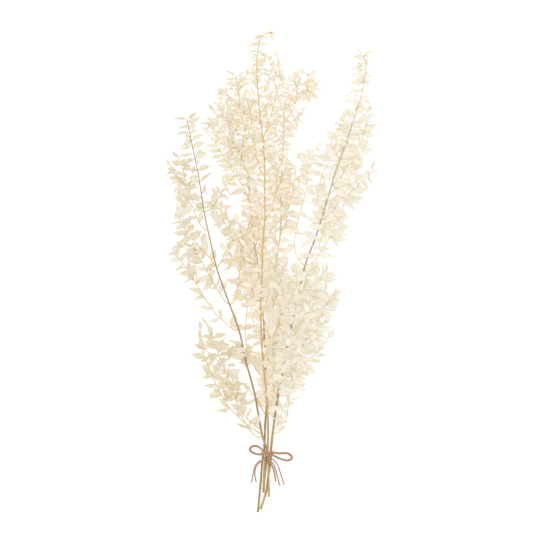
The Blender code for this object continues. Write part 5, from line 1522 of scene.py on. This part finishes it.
class Nodes:
    """Short ways to add shader nodes to a new material."""

    def __init__(self, name):
        self.material = bpy.data.materials.new(name)
        self.material.use_nodes = True
        self.tree = self.material.node_tree
        self.shader = self.tree.nodes["Principled BSDF"]
        self.output = self.tree.nodes["Material Output"]

    def link(self, a, b):
        self.tree.links.new(a, b)

    def feed(self, socket, value):
        """Links a value that is itself a socket, or else sets it."""
        if isinstance(value, bpy.types.NodeSocket):
            self.link(value, socket)
        else:
            socket.default_value = value

    def add(self, kind, **values):
        """A node; values set its inputs by name, with underscores for spaces, or its properties."""
        node = self.tree.nodes.new("ShaderNode" + kind)
        for key, value in values.items():
            if hasattr(node, key):
                setattr(node, key, value)
            else:
                self.feed(node.inputs[key.replace("_", " ")], value)
        return node

    def surface(self, **values):
        """Sets inputs of the material's shader, by name with underscores for spaces."""
        for key, value in values.items():
            self.feed(self.shader.inputs[key.replace("_", " ")], value)

    def place(self):
        return self.add("TexCoord").outputs["Object"]

    def grain(self):
        """The three values that each vertex of a mesh carries."""
        grain = self.add("Attribute", attribute_name="grain")
        return self.add("SeparateXYZ", Vector=grain.outputs["Vector"]).outputs

    def noise(self, at, scale, detail, roughness=0.5):
        node = self.add("TexNoise", Vector=at, Scale=scale, Detail=detail, Roughness=roughness)
        return node.outputs[0]

    def rolled(self, around, along, stretch):
        """A place on a cylinder, so that a texture has no seam round a stem or strand."""
        node = self.add("CombineXYZ", X=self.maths("COSINE", around), Y=self.maths("SINE", around),
                        Z=self.maths("MULTIPLY", along, stretch))
        return node.outputs[0]

    def maths(self, operation, a, b=0.0):
        node = self.add("Math", operation=operation)
        for socket, value in zip(node.inputs, (a, b)):
            self.feed(socket, value)
        return node.outputs[0]

    def remap(self, value, low, high, to_low=0.0, to_high=1.0):
        node = self.add("MapRange", Value=value, From_Min=low, From_Max=high, To_Min=to_low,
                        To_Max=to_high)
        return node.outputs[0]

    def mix(self, factor, a, b, blend="MIX"):
        node = self.add("Mix", data_type="RGBA", blend_type=blend)
        sockets = [s for s in node.inputs if s.type == "RGBA"]
        for socket, value in zip([node.inputs["Factor"], *sockets], (factor, a, b)):
            self.feed(socket, (*value, 1) if isinstance(value, tuple) else value)
        return next(s for s in node.outputs if s.type == "RGBA")


def colour(text):
    """A colour in linear light from its usual six digits."""
    values = [int(text[k:k + 2], 16) / 255 for k in (0, 2, 4)]
    return tuple(v / 12.92 if v <= 0.04045 else ((v + 0.055) / 1.055) ** 2.4 for v in values)


def leaf_finish(name, pale, warm, edge, tints=None):
    """Dried leaf: papery, with fine veins along it, warmer at its edges and stalk; the rim is partly
    painted shade, and the leaf glows with its own colour as painted light.

    Tints, if given, are for the leaves in the bunch's middle and for those near the tie.
    """
    pale, warm, edge = map(colour, (pale, warm, edge))
    n = Nodes(name)
    place = n.place()
    across, along, shade = n.grain()
    width = n.maths("ABSOLUTE", across)
    patches = n.noise(place, 55.0, 3.0, 0.6)
    fine = n.noise(place, 900.0, 4.0, 0.65)
    mottled = n.maths("ADD", n.maths("MULTIPLY", patches, 0.6), n.maths("MULTIPLY", shade, 0.55))
    body = n.mix(n.remap(mottled, 0.30, 0.80), pale, warm)
    # Darker rim: partly the leaf's own tan edge, partly painted shade where the edges curl.
    rim = n.maths("MULTIPLY", n.remap(width, 0.72, 1.0), 0.35)
    rim = n.maths("MULTIPLY", rim, n.remap(patches, 0.35, 0.6))
    body = n.mix(rim, body, edge)
    stalk = n.remap(along, 0.20, 0.0, 0.0, 0.65)
    tip = n.remap(along, 0.88, 1.0, 0.0, 0.35)
    body = n.mix(n.maths("MAXIMUM", stalk, tip), body, edge)
    rib = n.remap(width, 0.16, 0.0, 0.0, 0.38)
    body = n.mix(rib, body, edge)
    # Veins run along the leaf and meet at its ends.
    stripes = n.maths("SINE", n.maths("MULTIPLY", across, VEINS))
    stripes = n.maths("ADD", stripes, n.maths("MULTIPLY", fine, 1.4))
    veins = n.remap(stripes, 0.2, 1.8)
    body = n.mix(n.maths("MULTIPLY", veins, 0.10), body, edge)
    specks = n.remap(n.noise(place, 420.0, 2.0), 0.70, 0.76, 0.0, 0.35)
    body = n.mix(specks, body, edge)
    if tints:
        x, y, z = n.add("SeparateXYZ", Vector=place).outputs
        high = n.remap(y, *TINT_ALONG)
        middle = n.maths("MULTIPLY", high, n.remap(x, *TINT_ACROSS))
        tint = n.mix(middle, n.mix(high, tints[1], PLAIN), tints[0])
        body = n.mix(1.0, body, tint, "MULTIPLY")
    height = n.maths("ADD", n.maths("MULTIPLY", veins, 0.6), n.maths("MULTIPLY", fine, 0.5))
    bump = n.add("Bump", Height=height, Strength=0.35, Distance=0.00018)
    # Painted glow: the leaf emits its own colour, so shaded leaves deep in the bunch stay light.
    n.surface(
        Roughness=n.remap(patches, 0.3, 0.7, 0.50, 0.68), Specular_IOR_Level=0.28,
        Emission_Color=body, Emission_Strength=LEAF_GLOW / (1 - SEE_THROUGH),
    )
    # The colour that real light falls on is dimmed, leaving room for the painted glow.
    body = n.mix(1.0, body, LEAF_SHADE, "MULTIPLY")
    n.surface(Base_Color=body, Normal=bump.outputs[0])
    through = n.add("BsdfTranslucent", Color=body, Normal=bump.outputs[0])
    both = n.add("MixShader")
    both.inputs[0].default_value = SEE_THROUGH
    n.link(n.shader.outputs[0], both.inputs[1])
    n.link(through.outputs[0], both.inputs[2])
    n.link(both.outputs[0], n.output.inputs["Surface"])
    return n.material


def wood_finish(name, low, middle, high, twigs, turns=HIGH_TURNS):
    """Bark: streaks along the stem, and a colour that changes from the cut end to the tip.

    The middle colour turns into the high one between these metres along the stem.
    """
    low, middle, high, twigs = map(colour, (low, middle, high, twigs))
    n = Nodes(name)
    place = n.place()
    around, along, kind = n.grain()
    streaks = n.noise(n.rolled(around, along, STREAK_STRETCH), 2.6, 5.0, 0.7)
    spots = n.noise(place, 260.0, 3.0)
    base = n.mix(n.remap(along, *LOW_TURNS), low, middle)
    base = n.mix(n.remap(along, *turns), base, high)
    base = n.mix(n.remap(along, *TIP_TURNS), base, twigs)
    base = n.mix(kind, base, twigs)
    dark = n.mix(1.0, base, BARK_DARK, "MULTIPLY")
    body = n.mix(n.remap(streaks, 0.46, 0.72, 0.0, 0.85), base, dark)
    body = n.mix(n.remap(spots, 0.62, 0.74, 0.0, 0.55), body, dark)
    light = n.mix(0.55, base, BARK_LIGHT)
    body = n.mix(n.remap(streaks, 0.44, 0.26, 0.0, 0.6), body, light)
    bump = n.add("Bump", Height=streaks, Strength=0.55, Distance=0.0004)
    # Painted glow: the bark emits its own colour faintly, more on side shoots and twiglets than on main
    # stems.
    n.surface(
        Roughness=n.remap(streaks, 0.3, 0.7, 0.55, 0.78), Specular_IOR_Level=0.3,
        Emission_Color=body, Emission_Strength=n.remap(kind, 0.0, 1.0, 0.08, 0.20),
        Base_Color=body, Normal=bump.outputs[0],
    )
    return n.material


def twine_finish():
    """Jute: pinkish brown, with painted shade between its plies, and fine fibres along it."""
    n = Nodes("jute_twine_fine")
    place = n.place()
    around, along, loose = n.grain()
    turn = n.maths("SUBTRACT", around, n.maths("MULTIPLY", along, 2 * math.pi / PLY_PITCH))
    lobes = n.maths("ABSOLUTE", n.maths("COSINE", n.maths("MULTIPLY", turn, PLIES / 2)))
    hairs = n.noise(n.rolled(turn, along, HAIR_STRETCH), 5.0, 5.0, 0.7)
    patches = n.noise(place, 330.0, 3.0)
    body = n.mix(n.remap(hairs, 0.34, 0.68), colour("8A6850"), colour("C6A286"))
    body = n.mix(n.remap(patches, 0.35, 0.7, 0.0, 0.5), body, colour("B48D72"))
    # Painted shade: darker in the valleys between the plies, except on loose fibres.
    ply_valley_shade = n.maths("MULTIPLY", n.remap(lobes, 0.45, 0.05), n.maths("SUBTRACT", 1.0, loose))
    body = n.mix(n.maths("MULTIPLY", ply_valley_shade, 0.7), body, colour("604633"))
    body = n.mix(n.maths("MULTIPLY", loose, 0.5), body, colour("CAAB90"))
    bump = n.add("Bump", Height=hairs, Strength=0.6, Distance=0.0002)
    n.surface(
        Roughness=n.remap(hairs, 0.3, 0.7, 0.95, 0.8), Specular_IOR_Level=0.15,
        Sheen_Weight=0.15, Sheen_Roughness=0.5, Base_Color=body, Normal=bump.outputs[0],
    )
    return n.material


def floor_finish():
    """A white board, lit a little from behind as on a light table."""
    n = Nodes("white_board")
    n.surface(
        Base_Color=n.mix(n.noise(n.place(), 3.0, 2.0), *FLOOR_GREYS), Roughness=0.9,
        Specular_IOR_Level=0.1, Emission_Color=WHITE, Emission_Strength=FLOOR_LIGHT,
    )
    return n.material


# The set


def add_camera():
    """Straight above the bunch, with the photograph's frame."""
    wide = PHOTO_PIXELS * SQUARE
    data = bpy.data.cameras.new("camera")
    data.sensor_width = SENSOR
    data.lens = SENSOR * CAMERA_ABOVE / wide
    data.clip_end = CAMERA_REACH
    camera = placed("camera", data)
    x, y = (p - o for p, o in zip(PHOTO_MIDDLE, ORIGIN))
    camera.location = (x * SQUARE, y * SQUARE, MID_HEIGHT + CAMERA_ABOVE)
    bpy.context.scene.camera = camera


def add_lights():
    """A bright even room, a wide soft lamp above the upper left and a weaker one lower right."""
    world = bpy.data.worlds.new("studio")
    world.use_nodes = True
    background = world.node_tree.nodes["Background"]
    background.inputs["Color"].default_value = WHITE
    background.inputs["Strength"].default_value = ROOM_LIGHT
    bpy.context.scene.world = world
    for name, looks in LAMPS.items():
        data = bpy.data.lights.new(name, "AREA")
        data.shape = "DISK"
        data.size = looks["size"]
        data.energy = looks["power"]
        lamp = placed(name, data)
        lamp.location = looks["place"]
        lamp.rotation_euler = (-Vector(looks["place"])).to_track_quat("-Z", "Y").to_euler()
    bpy.context.scene.view_settings.view_transform = "Standard"


def add_floor():
    mesh = bpy.data.meshes.new("floor")
    corners = [(-1, -1), (1, -1), (1, 1), (-1, 1)]
    mesh.from_pydata([(x * FLOOR_HALF, y * FLOOR_HALF, 0) for x, y in corners], [], [(0, 1, 2, 3)])
    mesh.materials.append(floor_finish())
    floor = placed("floor", mesh)
    floor.location = (0, 0, -FLOOR_BELOW)


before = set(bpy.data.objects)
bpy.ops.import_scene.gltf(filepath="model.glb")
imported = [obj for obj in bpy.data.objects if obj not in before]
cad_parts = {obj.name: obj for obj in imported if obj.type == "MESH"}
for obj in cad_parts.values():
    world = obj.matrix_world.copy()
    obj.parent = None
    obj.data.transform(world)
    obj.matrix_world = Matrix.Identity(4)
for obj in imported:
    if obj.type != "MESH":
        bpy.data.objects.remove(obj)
cad_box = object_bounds()
add_camera()
twine = twine_finish()
build_bow(twine)
lines = stem_lines()
build_tie(twine, lines)
bark = {
    "stem_left": wood_finish("bark_left", "B39A6C", "9A7D58", "AF9470", "CBB386"),
    "stem_centre_left": wood_finish(
        "bark_centre_left", "9A8150", "B29160", "DCC294", "D2BC8E", turns=(0.29, 0.35)),
    "stem_centre": wood_finish("bark_centre", "A0874F", "C2A267", "CFAF72", "CFB785"),
    "stem_centre_right": wood_finish(
        "bark_centre_right", "A99358", "C6AD76", "E0C792", "D2BD90", turns=(0.24, 0.36)),
    "stem_right": wood_finish("bark_right", "AE9B62", "A68F68", "B9A582", "D4C4A0"),
}
green = {
    "stem_left": leaf_finish("leaf_left", "F2EEE1", "ECE3CD", "DDCCA8", tints=LEFT_TINTS),
    "stem_centre_left": leaf_finish("leaf_centre_left", "F8F3E6", "F2E8D2", "E3D1AC"),
    "stem_centre": leaf_finish("leaf_centre", "F9F5EA", "F3E9D4", "E3D2AD"),
    "stem_centre_right": leaf_finish("leaf_centre_right", "FAF6EB", "F5ECD9", "E5D4B1"),
    "stem_right": leaf_finish("leaf_right", "F9F6ED", "F5EFDF", "E6D9B8"),
}
leaves = place_leaves(lines)
build_stems(lines, leaves, crowd(lines, leaves, cad_box[1][2]), bark, green)
add_floor()
add_lights()
